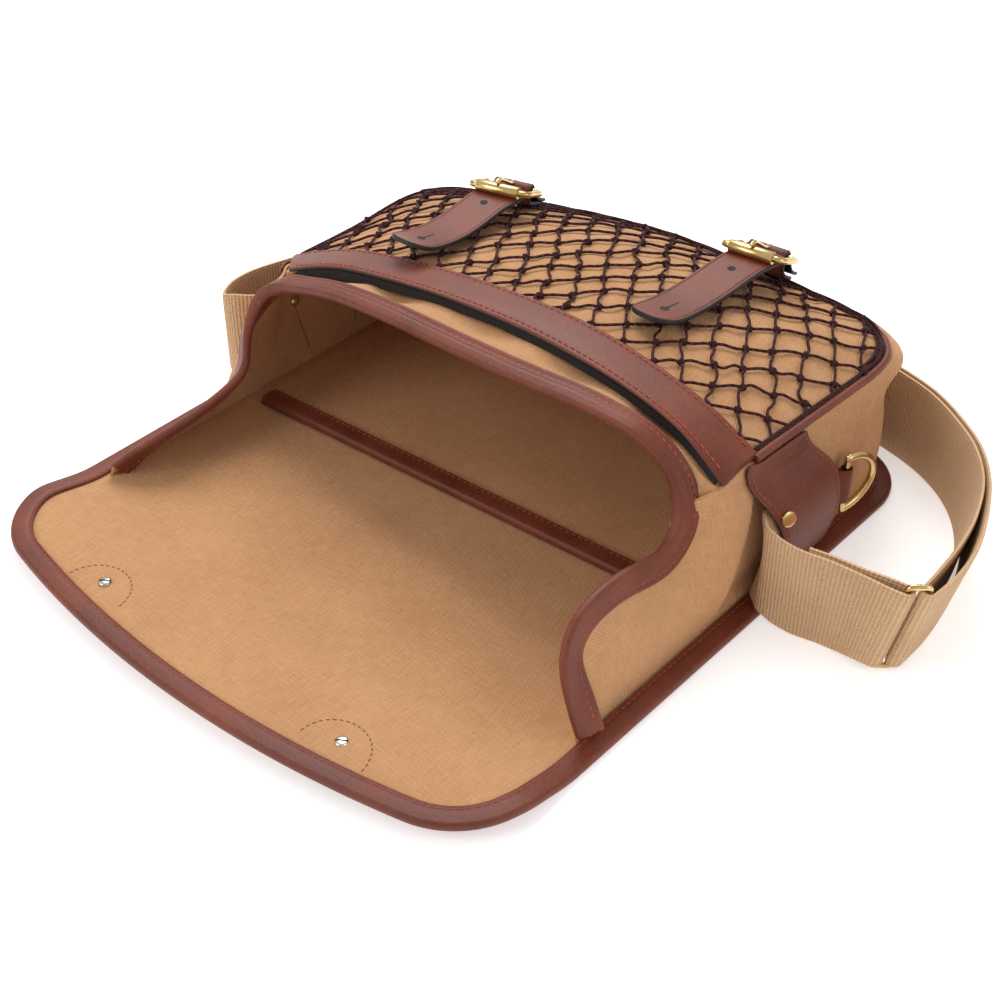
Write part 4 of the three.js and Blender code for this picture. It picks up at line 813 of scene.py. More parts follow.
# Rows of one wing's edge: y of its seam, then x, y and z of the edge
WINGS = {
    "right": [
        (-127, 153.5, -129, 10), (-124, 151.5, -130.5, 19.5), (-117, 146.5, -131, 39.5),
        (-111, 142.5, -127, 50.5), (-105, 140.5, -118.5, 60), (-97, 139.5, -106, 63.8), (-84, 139, -86, 63.7),
        (-71, 139.2, -71, 60.5), (-58, 139.5, -58, 58), (-51, 139.2, -51, 59),
    ],
    "left": [
        (-138, -148, -138, 10), (-127, -137, -127, 21), (-112, -129, -111, 28), (-97, -126.5, -95, 32),
        (-80, -125.5, -78, 36), (-66, -126, -63, 41.5), (-58, -131, -56, 54), (-52, -132, -51, 65),
    ],
}
SIDE_ROWS = np.array([-24, -10, PIPING_START, 16, 30, 46, 62, 82, 100.0])


def bulge_at(y):
    """How far a side bulges, most near the middle of the bag."""
    return 3 + 4 * hump(y, 10, 60)


def side_stations(side):
    """Rows of seam point, top point, outward direction, bulge, free and piped, from flap to far corner."""
    sign = SIGN[side]

    def row(seam_y, x, y, z, bulge, free, piped):
        """One station, straight out to the side."""
        return sign * SEAM_X, seam_y, SEAM_HEIGHT, x, y, z, sign, 0, bulge, free, piped

    rows = [row(s, x, y, z, bulge_at(s), 1, 0) for s, x, y, z in WINGS[side]]
    x, y = front_edge(side, RIM_Y), RIM_Y - 5
    rows.append(row(y, x, y, front(x, y), bulge_at(RIM_Y), 1, 0))
    for y in SIDE_ROWS:
        x = front_edge(side, y)
        rows.append(row(y, x, y, front(x, y), bulge_at(y), 0, y >= PIPING_START))
    return np.array(rows, float)


def corner_stations(side):
    """The same round one far corner, every 18 degrees."""
    sign, rows = SIGN[side], []
    middle = np.array([sign * (FRONT_HALF[side] - FRONT_CORNER), FRONT_FAR - FRONT_CORNER])
    for angle in np.radians([18, 36, 54, 72, 90]):
        out = np.array([sign * np.cos(angle), np.sin(angle)])
        seam = np.array([sign * FAR_CORNER_X, FAR_CORNER_Y]) + out * (FAR_CORNER - SEAM_INSET)
        top = middle + out * FRONT_CORNER
        rows.append((*seam, SEAM_HEIGHT, *top, front(*top), *out, 3, 0, 1))
    return np.array(rows, float)


def gusset_stations():
    """The same for the whole gusset: right wing and side, bottom, left side and wing."""
    parts = np.array([0.6, 0.2, -0.2, -0.6])
    x, seam_y = parts * 114, SHEET_FAR - SEAM_INSET
    top = front(x, FRONT_FAR)
    bottom = stack(parts * FAR_CORNER_X, seam_y, SEAM_HEIGHT, x, FRONT_FAR, top, 0, 1, 3, 0, 1)
    right = [side_stations("right"), corner_stations("right")]
    left = [corner_stations("left")[::-1], side_stations("left")[::-1]]
    return np.concatenate([*right, bottom, *left])


def gusset_folds(point, part):
    """Pleats of the side: how far the cloth draws in at points, and at part of the way up."""
    x, y, z = np.moveaxis(point, -1, 0)
    right, left = x > 100, x < -100
    line = -27 + 0.42 * (z - 10)
    tuck = 5 * ease(y, line, line + 5) * (1 - ease(y, 10, 22)) * ease(z, 5, 14) * (1 - ease(z, 58, 68))
    dent = 3.6 * np.exp(-(((y + 30) / 14) ** 2)) * hump(z, 45, 15)
    slack = 1.0 * np.sin(y / 11 + z / 19) * np.sin(np.pi * part) ** 2
    left_folds = 0.7 * slack + 1.4 * hump(y, -40, 18) * hump(z, 40, 18)
    return np.where(right, tuck + dent + 0.4 * slack, np.where(left, left_folds, 0.6 * slack))


def build_gusset():
    """Canvas: at each station a line from seam to top, bowed outwards as a half sine, then straight."""
    stations = gusset_stations()
    drop = np.where(stations[:, 10] > 0, PIPING_RADIUS + 0.7, np.where(stations[:, 9] > 0, 0, 0.2))
    lowered = stations[:, 3:6] - stack(0, 0, drop)
    fine = resample(np.concatenate([lowered, stations[:, :3], stations[:, 6:9]], 1), 560)
    crest, seam = fine[:, None, :3], fine[:, None, 3:6]
    out = unit(np.concatenate([fine[:, 6:8], 0 * fine[:, :1]], 1))[:, None]
    straight = np.maximum(1 - STRAIGHT_TOP / np.linalg.norm(seam - crest, axis=-1), 0.3)
    swell = fine[:, None, 8] * ease(crest[..., 2], 8, 55)
    part = np.linspace(0, 1, 26)[None]
    way = part * straight
    face = seam + (crest - seam) * way[..., None] + out * (swell * np.sin(np.pi * part))[..., None]
    rest = np.linspace(0, 1, 7)[1:]
    way_rest = straight + (1 - straight) * rest
    upper = seam + (crest - seam) * way_rest[..., None]
    face = np.concatenate([face, upper], 1)
    share = np.concatenate([way, way_rest], 1)
    free = ease(share, 0, 0.12) * (1 - ease(share, 0.8, 0.98))
    face = face - out * (gusset_folds(face, share) * free)[..., None]
    roll = 11 * ease(fine[:, None, 4], 104, 122) * hump(share, 0.9, 0.11)
    away = {side: np.linalg.norm(face - mouth_corner(side), axis=-1) for side in SIGN}
    tucked = 1.5 * hump(away["right"], 0, 13) + 0.8 * hump(away["left"], 0, 13)
    face = face + out * (roll - tucked)[..., None]
    walked = distances(fine[:, 3:6])[:, None] / 10
    coords = stack(walked, share * np.linalg.norm(crest - seam, axis=-1) / 10)
    mesh = Mesh()
    mesh.slab(face, face - out * CANVAS, coords)
    canvas("gusset", mesh)

    route = stations[stations[:, 10] > 0][:, 3:6]
    start_y = -1
    start, stop = ([[x, start_y, front(x, start_y)]] for x in (front_edge(side, start_y) for side in SIGN))
    piped = resample(np.concatenate([start, route, stop]), 260)
    piped[:, 2] -= 2.6 * np.maximum(ease(piped[:, 1], 116, 136), ease(-piped[:, 0], 110, 138))
    mesh = Mesh()
    mesh.tube(piped, PIPING_RADIUS, 14)
    leather("pocket_piping", mesh)


def wing_rim(side):
    """Rows of edge point, inward, normal and width up one wing."""
    rows = side_stations(side)
    rows = rows[rows[:, 9] > 0]
    top, out = rows[:, 3:6], np.concatenate([rows[:, 6:8], 0 * rows[:, :1]], 1)
    along = unit(np.gradient(top, axis=0))
    inward = rows[:, :3] - top
    flare = (side == "right") * (1 - ease(top[:, 2:], 22, 50))
    inward = inward * (1 - flare) + flare * 20 * np.array([0.5, 0.87, 0])
    inward = unit(inward - along * np.sum(inward * along, -1, keepdims=True))
    room = (top[:, 2] - SEAM_HEIGHT - 2.2) / np.maximum(-inward[:, 2], 0.2)
    normal = unit(out - inward * np.sum(inward * out, -1, keepdims=True))
    width = np.clip(room, RIM_WIDTH, 1.15 * RIM_WIDTH)[:, None]
    return np.concatenate([top - out * CANVAS / 2, inward, normal, width], 1)


def front_rim():
    """The same along the front of the mouth, from left to right."""
    x = across_front(np.array([RIM_Y]), 9.4, 15)[0]
    y = rim_y(x)
    z = front(x, y)
    inward = unit(stack(0 * x, RIM_WIDTH, front(x, y + RIM_WIDTH) - z))
    normal = unit(np.cross(stack(1, 0 * x, front(x + 1, y) - z), inward))
    width = np.full((len(x), 1), RIM_WIDTH)
    return np.concatenate([stack(x, y, z) - normal * CANVAS / 2, inward, normal, width], 1)


def build_rim():
    """Leather: the binding's outline carried up the left wing, along the mouth and down the right wing."""
    table = np.concatenate([wing_rim("left"), front_rim(), wing_rim("right")[::-1]])
    fine = smoothed(resample(table, 460), 4)
    edge, width = fine[:, :3], fine[:, 9]
    inward = unit(fine[:, 3:6])
    normal = unit(fine[:, 6:9] - inward * np.sum(inward * fine[:, 6:9], -1, keepdims=True))
    for side, lift in (("right", 1.1), ("left", -0.3)):
        away = np.linalg.norm(edge - mouth_corner(side), axis=1)
        edge = edge + normal * lift * hump(away, 0, 16)[:, None]
    stitch = RIM_WIDTH - 3.0
    ring = binding_ring(RIM_WIDTH, stitch, gap=LOOSE_GAP, roll=0.3)
    rings = np.broadcast_to(ring, (len(fine),) + ring.shape).copy()
    scale = (width / RIM_WIDTH)[:, None]
    rings[..., 0] = np.where(rings[..., 0] > 0, rings[..., 0] * scale, rings[..., 0])
    near = [hump(np.linalg.norm(edge - mouth_corner(side), axis=1), 0, 17) for side in SIGN]
    full = (1 + 0.7 * sum(near))[:, None]
    rings[..., 1] *= full
    mesh = Mesh()
    mesh.sweep(edge, inward, normal, rings)
    leather("mouth_rim", mesh)
    outside = full * (CANVAS / 2 + LOOSE_GAP + LEATHER) - 0.3
    mesh = Mesh()
    for way in (1, -1):
        row = edge + inward * (stitch * scale) + normal * way * outside
        stitches(mesh, row, normal * way)
    make("mouth_rim_thread", mesh, [THREAD_MAT])


# Net

def build_net():
    """Cord net: knots on a diamond lattice over the pocket, cords as tubes that bow between knots."""
    cord = 0.72
    first, one, other = np.array([96.9, 63.9]), np.array([9.9, 11.0]), np.array([-8.0, 12.8])
    i, j = np.meshgrid(np.arange(-30, 31), np.arange(-30, 31), indexing="ij")
    knots = first + i[..., None] * one + j[..., None] * other + RNG.normal(0, 0.9, i.shape + (2,))

    def inside(points):
        """Which points lie over the pocket."""
        x, y = points[..., 0], points[..., 1]
        over = (x > front_edge("left", y, 2.4)) & (x < front_edge("right", y, 2.4))
        return over & (y > 0.5 + band_bow(x)) & (y < FRONT_FAR - 3.5)

    starts = np.concatenate([knots[:-1].reshape(-1, 2), knots[:, :-1].reshape(-1, 2)])
    stops = np.concatenate([knots[1:].reshape(-1, 2), knots[:, 1:].reshape(-1, 2)])
    held = inside(starts)
    kept = held | inside(stops)
    a = np.where(held[:, None], starts, stops)[kept]
    b = np.where(held[:, None], stops, starts)[kept]
    low, high = np.zeros((len(a), 1)), np.ones((len(a), 1))
    for _ in range(14):
        share = (low + high) / 2
        within = inside(a + (b - a) * share)[:, None]
        low, high = np.where(within, share, low), np.where(within, high, share)
    b = a + (b - a) * np.where(inside(b)[:, None], 1, low)
    kx, ky = knots[inside(knots)].T
    number = len(a)
    part = np.linspace(0, 1, 11)
    bow = RNG.normal(0, 0.8, number)[:, None] * np.sin(np.pi * part)
    bow = bow + RNG.normal(0, 0.55, number)[:, None] * np.sin(2 * np.pi * part)
    ahead = unit(b - a)
    side = np.stack([-ahead[:, 1], ahead[:, 0]], -1)
    flat = a[:, None] + (b - a)[:, None] * part[:, None] + side[:, None] * bow[..., None]
    lift = 0.5 + 0.7 * np.sin(np.pi * part) * RNG.uniform(0.0, 1, number)[:, None]
    path = stack(flat[..., 0], flat[..., 1], pocket_top(flat[..., 0], flat[..., 1]) + cord + lift)
    run = unit(np.gradient(path, axis=1))
    over = unit(np.cross(run, [0.0, 0, 1]))
    up = np.cross(over, run)
    turn = round_turn(8)
    ring = over[:, :, None] * np.cos(turn)[:, None] + up[:, :, None] * np.sin(turn)[:, None]
    mesh = Mesh()
    mesh.copies(path[:, :, None] + cord * ring)
    lean = RNG.uniform(0, 2 * np.pi, len(kx))[:, None, None]
    polar = np.linspace(0.2, np.pi - 0.2, 7)
    turn = round_turn(10)
    lump = 1 + 0.2 * np.cos(3 * turn + lean + 2.5 * polar[:, None])
    wide, high = 2.2, 1.8
    across = wide * np.sin(polar)[:, None] * lump
    tall = high * np.cos(polar)[:, None] + 0 * across
    x = across * (np.cos(turn) * np.cos(lean) - 0.8 * np.sin(turn) * np.sin(lean))
    y = across * (np.cos(turn) * np.sin(lean) + 0.8 * np.sin(turn) * np.cos(lean))
    base = stack(kx, ky, pocket_top(kx, ky) + cord + 0.6)
    mesh.copies(base[:, None, None] + stack(x, y, tall))
    run = np.linspace(2, FRONT_FAR - 2.6, 90)
    sides = [stack(front_edge(side, run, 2.6), run) for side in ("right", "left")]
    loop = np.concatenate([sides[0], sides[1][::-1]])
    border = resample(stack(loop[:, 0], loop[:, 1], pocket_top(loop[:, 0], loop[:, 1]) + cord + 0.7), 420)
    mesh.tube(border, cord * 1.15, 8)
    far = border[border[:, 1] > 96]
    walked = distances(far)
    for phase in (0.0, 2.1, 4.4):
        slack = 1.6 + 1.5 * np.sin(walked / 15 + phase)
        inward = unit(np.array([0, 40.0]) - far[:, :2])
        x, y = (far[:, :2] + inward * slack[:, None]).T
        mesh.tube(stack(x, y, pocket_top(x, y) + 1.6 + 0.7 * np.cos(walked / 11 + phase)), cord, 8)
    make("net_cords", mesh, [CORD_MAT], ["net"])


# Tabs, rivets and D-rings

TAB_FOOT, TAB_ROW = 6.5, 3.2
TAB_Z = [TAB_FOOT, 20, 34, 48, 58, 68, 76]
TAB_MOUTH = [15, 13.5, 10.5, 5, -0.8, -7, -10]
TAB_FAR = [55, 60.8, 61.2, 58.5, 52.5, 45, 40]
RIVETS = {"right": (10, 49.5), "left": (-1, 43)}
D_BAR_OUT, D_BAR_Y, D_BAR_Z, D_WIRE, D_HALF, D_REACH = 4.3, 67, 34.5, 1.9, 15.5, 19
D_SWING = {"right": 13, "left": 3}


def side_crest(side, y):
    """Height of the gusset's top edge: the front's edge, lowered where the piping lies on it."""
    piped = ease(y, -10, PIPING_START)
    return front(front_edge(side, y), y) - (0.2 + (PIPING_RADIUS + 0.7 - 0.2) * piped)


def side_face(side, y, z):
    """Distance of the gusset's outer face from the middle plane: a straight side and a half sine bulge."""
    crest = side_crest(side, y)
    straight = 1 - STRAIGHT_TOP / (crest - SEAM_HEIGHT)
    part = (z - SEAM_HEIGHT) / (crest - SEAM_HEIGHT)
    plain = SEAM_X + (np.abs(front_edge(side, y)) - SEAM_X) * part
    return plain + bulge_at(y) * np.sin(np.pi * np.minimum(part / straight, 1))


def tab_under(side, y, z):
    """Distance of the tab's inner face: over the webbing below, close to the gusset at the top."""
    return side_face(side, y, z) + 0.9 + 3.1 * (1 - ease(z, 58, 69))


def build_tab(side):
    """Leather tab, its thread, rivets, D-ring and the ring's loop."""
    sign, shift = SIGN[side], LEFT_TAB_SHIFT if side == "left" else 0
    crest = side_crest(side, 25 + shift)
    highest = crest + 0.4
    ends = np.array([0, 0.2, 0.8])
    z = np.concatenate([TAB_FOOT + ends, np.linspace(8.2, highest - 1.7, 44), highest - ends[::-1]])
    inset_z = np.minimum(z - TAB_FOOT, highest - z)
    corner = 3 * (1 - np.sqrt(1 - (1 - np.clip(inset_z / 3, 0, 1)) ** 2))
    mouth = curve_through(TAB_Z, TAB_MOUTH, z) + shift + corner
    far = curve_through(TAB_Z, TAB_FAR, z) + shift - corner
    u = np.concatenate([[0, 0.004, 0.014, 0.03], np.linspace(0.05, 0.95, 36), [0.97, 0.986, 0.996, 1]])
    y = mouth[:, None] + (far - mouth)[:, None] * u
    width = (far - mouth)[:, None]
    inside = np.minimum(np.minimum(u, 1 - u) * width, inset_z[:, None] + 0.05)
    rounded = 0.9 * (1 - ease(inside, -0.2, 1.8))
    row = 0.3 * hump(inside, TAB_ROW, 0.8)
    zz = z[:, None] + (side_crest(side, y) - crest) * ease(z, 52, highest)[:, None]
    under = tab_under(side, y, zz)
    mesh = Mesh()
    face = stack(sign * (under + TAB_THICK - rounded - row), y, zz)
    mesh.slab(face, stack(sign * (under + 0.4 * rounded), y, zz), edge=1)
    leather(f"side_tab_{side}", mesh, EDGE_MAT)

    levels = np.linspace(10, highest - TAB_ROW, 60)
    near = curve_through(TAB_Z, TAB_MOUTH, levels) + shift + TAB_ROW
    off = curve_through(TAB_Z, TAB_FAR, levels) + shift - TAB_ROW
    over = np.linspace(near[-1], off[-1], 20)[1:-1]
    ys = np.concatenate([near, over, off[::-1]])
    zs = np.concatenate([levels, 0 * over + levels[-1], levels[::-1]])
    zs = zs + (side_crest(side, ys) - crest) * ease(zs, 52, highest)
    mesh = Mesh()
    row = stack(sign * (tab_under(side, ys, zs) + TAB_THICK - 0.25), ys, zs)
    inner = stack(sign * (side_face(side, ys, zs) - CANVAS - 0.9), ys, zs)
    for shown in (slice(0, len(near)), slice(len(near) + len(over), None)):
        stitches(mesh, row[shown], np.array([sign * 1.0, 0, 0]))
        stitches(mesh, inner[shown], np.array([-sign * 1.0, 0, 0]), radius=0.35, finish=1)
    make(f"side_tab_{side}_thread", mesh, [THREAD_MAT, DULL_THREAD_MAT])

    ry, rz = RIVETS[side]
    mesh = Mesh()
    outside = tab_under(side, ry, rz) + TAB_THICK + GAP
    head = [
        (0.05, 0.35), (3.3, 0.35), (3.9, 0.6), (4.0, 0.95),
        (3.85, 1.2), (3.3, 1.45), (1.8, 1.6), (0.05, 1.65),
    ]
    mesh.lathe(head, (sign * (outside + 0.7), ry, rz), (sign, -0.38, 0.28))
    brass(f"rivet_{side}", mesh)
    mesh = Mesh()
    inside = side_face(side, ry, rz) - CANVAS - 1.8
    turn = np.linspace(0, np.pi / 2, 8)
    dome = [(0.05, -0.9), *zip(3.2 * np.cos(turn) + 0.03, 1.8 * np.sin(turn))]
    mesh.lathe(dome, (sign * inside, ry, rz), (-sign, 0, 0))
    brass(f"rivet_inside_{side}", mesh)

    bar_y = D_BAR_Y + shift
    base = side_face(side, bar_y, D_BAR_Z)
    centre = np.array([sign * (base + D_BAR_OUT), bar_y, D_BAR_Z])
    swing = np.radians(D_SWING[side])
    reach = np.array([sign * np.sin(swing), np.cos(swing), 0])
    turn = np.linspace(np.pi / 2, -np.pi / 2, 50)
    bow = stack(D_REACH * np.cos(turn), D_HALF * np.sin(turn))
    bow = np.concatenate([bow, stack(0 * turn[:20], np.linspace(-D_HALF, D_HALF, 22)[1:-1])])
    path = centre + bow[:, :1] * reach + bow[:, 1:] * np.array([0, 0, 1.0])
    mesh = Mesh()
    mesh.tube(path, D_WIRE, 16, loop=True, plane=np.cross(reach, [0, 0, 1.0]))
    brass(f"d_ring_{side}", mesh, f"{side}_ring")

    wrap = np.radians(np.linspace(-130, 130, 28))
    radius = D_WIRE + GAP + 0.5
    route = np.concatenate([
        stack([-22, -16, -10, -5.5], 1.4),
        stack(radius * np.cos(wrap), D_BAR_OUT + radius * np.sin(wrap)),
        stack([-5.5, -10, -16, -22], 2.7),
    ])
    round_part = np.concatenate([[0] * 4, [1] * 28, [0] * 4])
    levels = D_BAR_Z + np.linspace(-10, 10, 14)
    yy = bar_y + route[:, :1] + 0 * levels
    loose = side_face(side, yy, levels + 0 * yy)
    face_x = np.where(round_part[:, None] > 0, base, loose) + route[:, 1:]
    line = stack(route[:, 1], route[:, 0])
    ahead = unit(np.gradient(line, axis=0))
    normal = stack(ahead[:, 1], -ahead[:, 0])[:, None] * 0.5
    pinch = np.interp(np.abs(levels - D_BAR_Z), [0, 9.2, 10], [1, 1, 0.4])[None, :, None]
    outer = stack(sign * (face_x + (normal * pinch)[..., 0]), yy + (normal * pinch)[..., 1], levels + 0 * yy)
    inner = stack(sign * (face_x - (normal * pinch)[..., 0]), yy - (normal * pinch)[..., 1], levels + 0 * yy)
    mesh = Mesh()
    mesh.slab(outer, inner, edge=1)
    leather(f"ring_loop_{side}", mesh, EDGE_MAT)


# Shoulder strap

RING_LEAN = (11, -1)
SHORT_BAR, LONG_BAR = np.array([220.5, -1]), np.array([227.8, 5.2])


def under_tab(side, rows):
    """Route of the webbing under a tab: along the gusset's face at its foot."""
    rows = np.asarray(rows, float)
    x = SIGN[side] * (side_face(side, rows, WEB_FOOT + 0 * rows) + 1.7)
    return stack(x, rows, WEB_FOOT, 0, 0, 1)


def wrap_bar(bar, start, stop):
    """Route of the webbing round an upright bar of the ring: an arc."""
    radius = RING_WIRE + GAP + WEB_THICK / 2
    turn = np.radians(np.linspace(start, stop, 13))
    return stack(bar[0] + radius * np.cos(turn), bar[1] + radius * np.sin(turn), 3.8, *RING_LEAN, 0)


def webbing(mesh, side, route, count):
    """A ribbon on edge along a route: x, y and z of its foot, its top's lean and how far it hugs the side."""
    fine = resample(route, count)
    part = np.linspace(0, 1, 22)
    level = part * WEB_WIDTH
    x, y, z, lean_x, lean_y, hug = (fine[:, k, None] for k in range(6))
    away = hug * (side_face(side, y + 0 * level, z + level) - side_face(side, y, z))
    middle = stack(x + lean_x * part + SIGN[side] * away, y + lean_y * part, z + level)
    ahead = unit(np.gradient(fine[:, :2], axis=0))
    normal = stack(ahead[:, 1], -ahead[:, 0], 0)[:, None]
    rounded = np.interp(np.minimum(part, 1 - part), [0, 0.015, 0.05], [0.5, 0.85, 1])
    half = WEB_THICK / 2 * rounded[None, :, None]
    walked = distances(fine[:, :3])[:, None] / 10
    coords = stack(level / 10, walked)
    mesh.slab(middle + normal * half, middle - normal * half, coords)
    return middle, normal


# The long webbing's outer run: the foot's place, the top's lean and how far inside it the doubled part lies
OUTER_RUN = np.array([
    (229.8, 25, 1.5, 12, 0, 8), (227, 46, 0.6, 12, 0, 7.5), (222.5, 68, 0.6, 9, 1, 5),
    (214, 92, 0.6, 5, 3, 3.1), (201, 114, 0.6, 2, 2, 2.9), (184, 131, 0.6, 0, 0, 2.9),
    (163, 143, 0.6, 0, 0, 2.9), (140, 150, 0.6, 0, 0, 2.9), (112, 154, 1.5, 0, 0, 2.9),
    (92, 155, 3.4, 0, 0, 4.6), (72, 155, 3.4, 0, 0, 4.6),
])
# Its run from the left tab and behind the bag: the foot's place and how far it hugs the side
LEFT_RUN = np.array([
    (-157.5, -19, 5.5, 0.6), (-161.5, -26, 5.5, 0.2), (-167.5, -31, 5.2, 0), (-175, -31, 2.5, 0),
    (-181, -25, 0.6, 0), (-184.5, -15, 0.6, 0), (-184, 0, 0.6, 0), (-178, 21, 0.6, 0), (-171, 42, 0.6, 0),
    (-168, 66, 0.6, 0), (-168, 96, 0.6, 0), (-166, 122, 0.6, 0), (-157, 142, 0.6, 0), (-138, 153, 0.6, 0),
    (-105, 156, 0.6, 0), (-40, 156, 0.6, 0), (30, 155.5, 1.5, 0),
])
# The short webbing's run to the ring and back: the foot's place, the top's lean and how far it hugs the side
SHORT_RUN = np.array([
    (157.6, -4, 5.5, 0, 0, 0.65), (161, -7, 5.5, 0, 0, 0.25), (165.5, -8.4, 5.2, 0, 0, 0),
    (171, -8, 3, 0, 0, 0), (180, -6, 0.6, 0, 0, 0), (192, -3.6, 0.6, 2, 0, 0),
    (204, -3, 1.5, 6, -0.5, 0), (213, -3.9, 3, 9, -1, 0),
])
SHORT_BACK = np.array([
    (212, 1, 3.8, 9, -1, 0), (204, 0.2, 2.4, 6, -0.5, 0), (192, -0.6, 1.2, 2, 0, 0), (182, -2.4, 1, 0, 0, 0),
])


def build_strap():
    """Both webbings, the cross row of thread and the ring that joins them."""
    held = under_tab("right", [34, 26, 18, 11, 5, 0])
    route = np.concatenate([held, SHORT_RUN, wrap_bar(SHORT_BAR, -90, 90), SHORT_BACK])
    mesh = Mesh()
    middle, normal = webbing(mesh, "right", route, 260)
    make("strap_end_web", mesh, [WEB_MAT], ["strap_end"])

    ahead = unit(np.gradient(OUTER_RUN[:, :2], axis=0))
    inner = OUTER_RUN.copy()
    inner[:, :2] += OUTER_RUN[:, 5:] * stack(-ahead[:, 1], ahead[:, 0])
    inner[:, 5] = 0
    outer = OUTER_RUN[::-1].copy()
    outer[:, 5] = 0
    left = stack(*LEFT_RUN[:, :3].T, 0, 0, LEFT_RUN[:, 3])
    held = under_tab("left", [20, 10, 0, -8, -14])
    route = np.concatenate([held, left, outer, wrap_bar(LONG_BAR, 0, -180), inner])
    mesh = Mesh()
    webbing(mesh, "left", route, 760)
    make("shoulder_strap_web", mesh, [WEB_MAT], ["shoulder_strap"])

    mesh = Mesh()
    row = np.argmin(np.abs(middle[:130, 0, 0] - 190))
    across = middle[row, 2:-2] + normal[row] * WEB_THICK / 2
    stitches(mesh, across, -normal[row], pitch=3.4, length=2.6, radius=0.35)
    make("strap_end_thread", mesh, [SAND_THREAD_MAT])

    upright = unit(np.array([*RING_LEAN, WEB_WIDTH], float))
    span = LONG_BAR - SHORT_BAR
    along = unit(np.array([*span, 0.0]))
    half_span, half_height = np.linalg.norm(span) / 2, WEB_WIDTH / 2 / upright[2] + RING_WIRE + 0.4
    centre = np.array([*(SHORT_BAR + LONG_BAR) / 2, 3.8]) + upright * WEB_WIDTH / 2 / upright[2]
    outline = rounded_loop(half_span, half_height, 2, 10)
    mesh = Mesh()
    path = centre + outline[:, :1] * along + outline[:, 1:] * upright
    mesh.tube(path, RING_WIRE, 14, loop=True, plane=np.cross(along, upright))
    brass("strap_ring", mesh)


def rounded_loop(half_a, half_b, corner, steps):
    """A rectangle with round corners, evenly walked, as pairs from its middle."""
    turn = np.linspace(0, np.pi / 2, steps)
    points = []
    for k, (sign_a, sign_b) in enumerate([(1, 1), (-1, 1), (-1, -1), (1, -1)]):
        angle = turn + k * np.pi / 2
        middle = [sign_a * (half_a - corner), sign_b * (half_b - corner)]
        points.append(middle + corner * stack(np.cos(angle), np.sin(angle)))
    whole = np.concatenate(points)
    whole = np.concatenate([whole, whole[:1]])
    walked = distances(whole)
    places = np.linspace(0, walked[-1], 120, endpoint=False)
    return read_along(whole, walked, places)


# Keyhole straps and roller buckles

STRAP_HALF, STRAP_THICK, CHAPE_HALF, CHAPE_THICK = 12.5, 2.4, 11, 1.8
FRAME_HALF, FRAME_WIRE, FRAME_CORNER = 16.5, 1.7, 4
# Places along y and z: the strap from end to end, the chape's two runs, the roller and the hinge
BUCKLES = {
    "right": {
        "x": 70, "turn": 4, "roller": (105, 112.5), "hinge": (124.9, 103), "yaw": 7,
        "strap": [
            (22, 113.6), (30, 110.8), (40, 108.6), (52, 107.4), (64, 107.3), (76, 107.8),
            (86, 108.6), (96, 109), (105, 108.4), (112, 107.6), (118, 107),
        ],
        "upper": [(139, 86.8), (136, 88.4), (132.2, 92.2), (129.6, 97.2)],
        "lower": [(121.2, 98.6), (122.8, 94.6), (127.2, 90.4), (132.5, 87.2)],
    },
    "left": {
        "x": -71.5, "turn": -4, "roller": (76, 109.1), "hinge": (96.3, 100.4), "yaw": 16,
        "strap": [
            (-2, 113.5), (6, 109.5), (15, 106.4), (26, 104.2), (37, 103.3), (48, 103.6),
            (58, 104.6), (66, 105.4), (74, 105.2), (82, 104.6), (89, 104.1),
        ],
        "upper": [(114, 86.4), (110, 88.2), (105, 91.6), (101.6, 95.6)],
        "lower": [(92.8, 96.6), (94.8, 93.4), (100, 91), (108, 87.4)],
    },
}


def strap_profile(half, thick):
    """Half-widths and heights of a leather strap's outline, its edges rounded."""
    turn = np.linspace(0.15, np.pi / 2, 5)
    bevel = 0.8
    edge = stack(-half + bevel - bevel * np.cos(turn), thick / 2 - bevel + bevel * np.sin(turn))
    outer = half - np.array([1.2, 1.5, 1.8, 2.1, 2.5])
    flat = np.concatenate([-outer, np.linspace(4 - half, half - 4, 7), outer[::-1]])
    crease = 0.3 * hump(half - np.abs(flat), 1.8, 0.3)
    top = np.concatenate([edge, stack(flat, thick / 2 - crease), edge[::-1] * [-1, 1]])
    return np.concatenate([top, top[::-1] * [1, -1]])


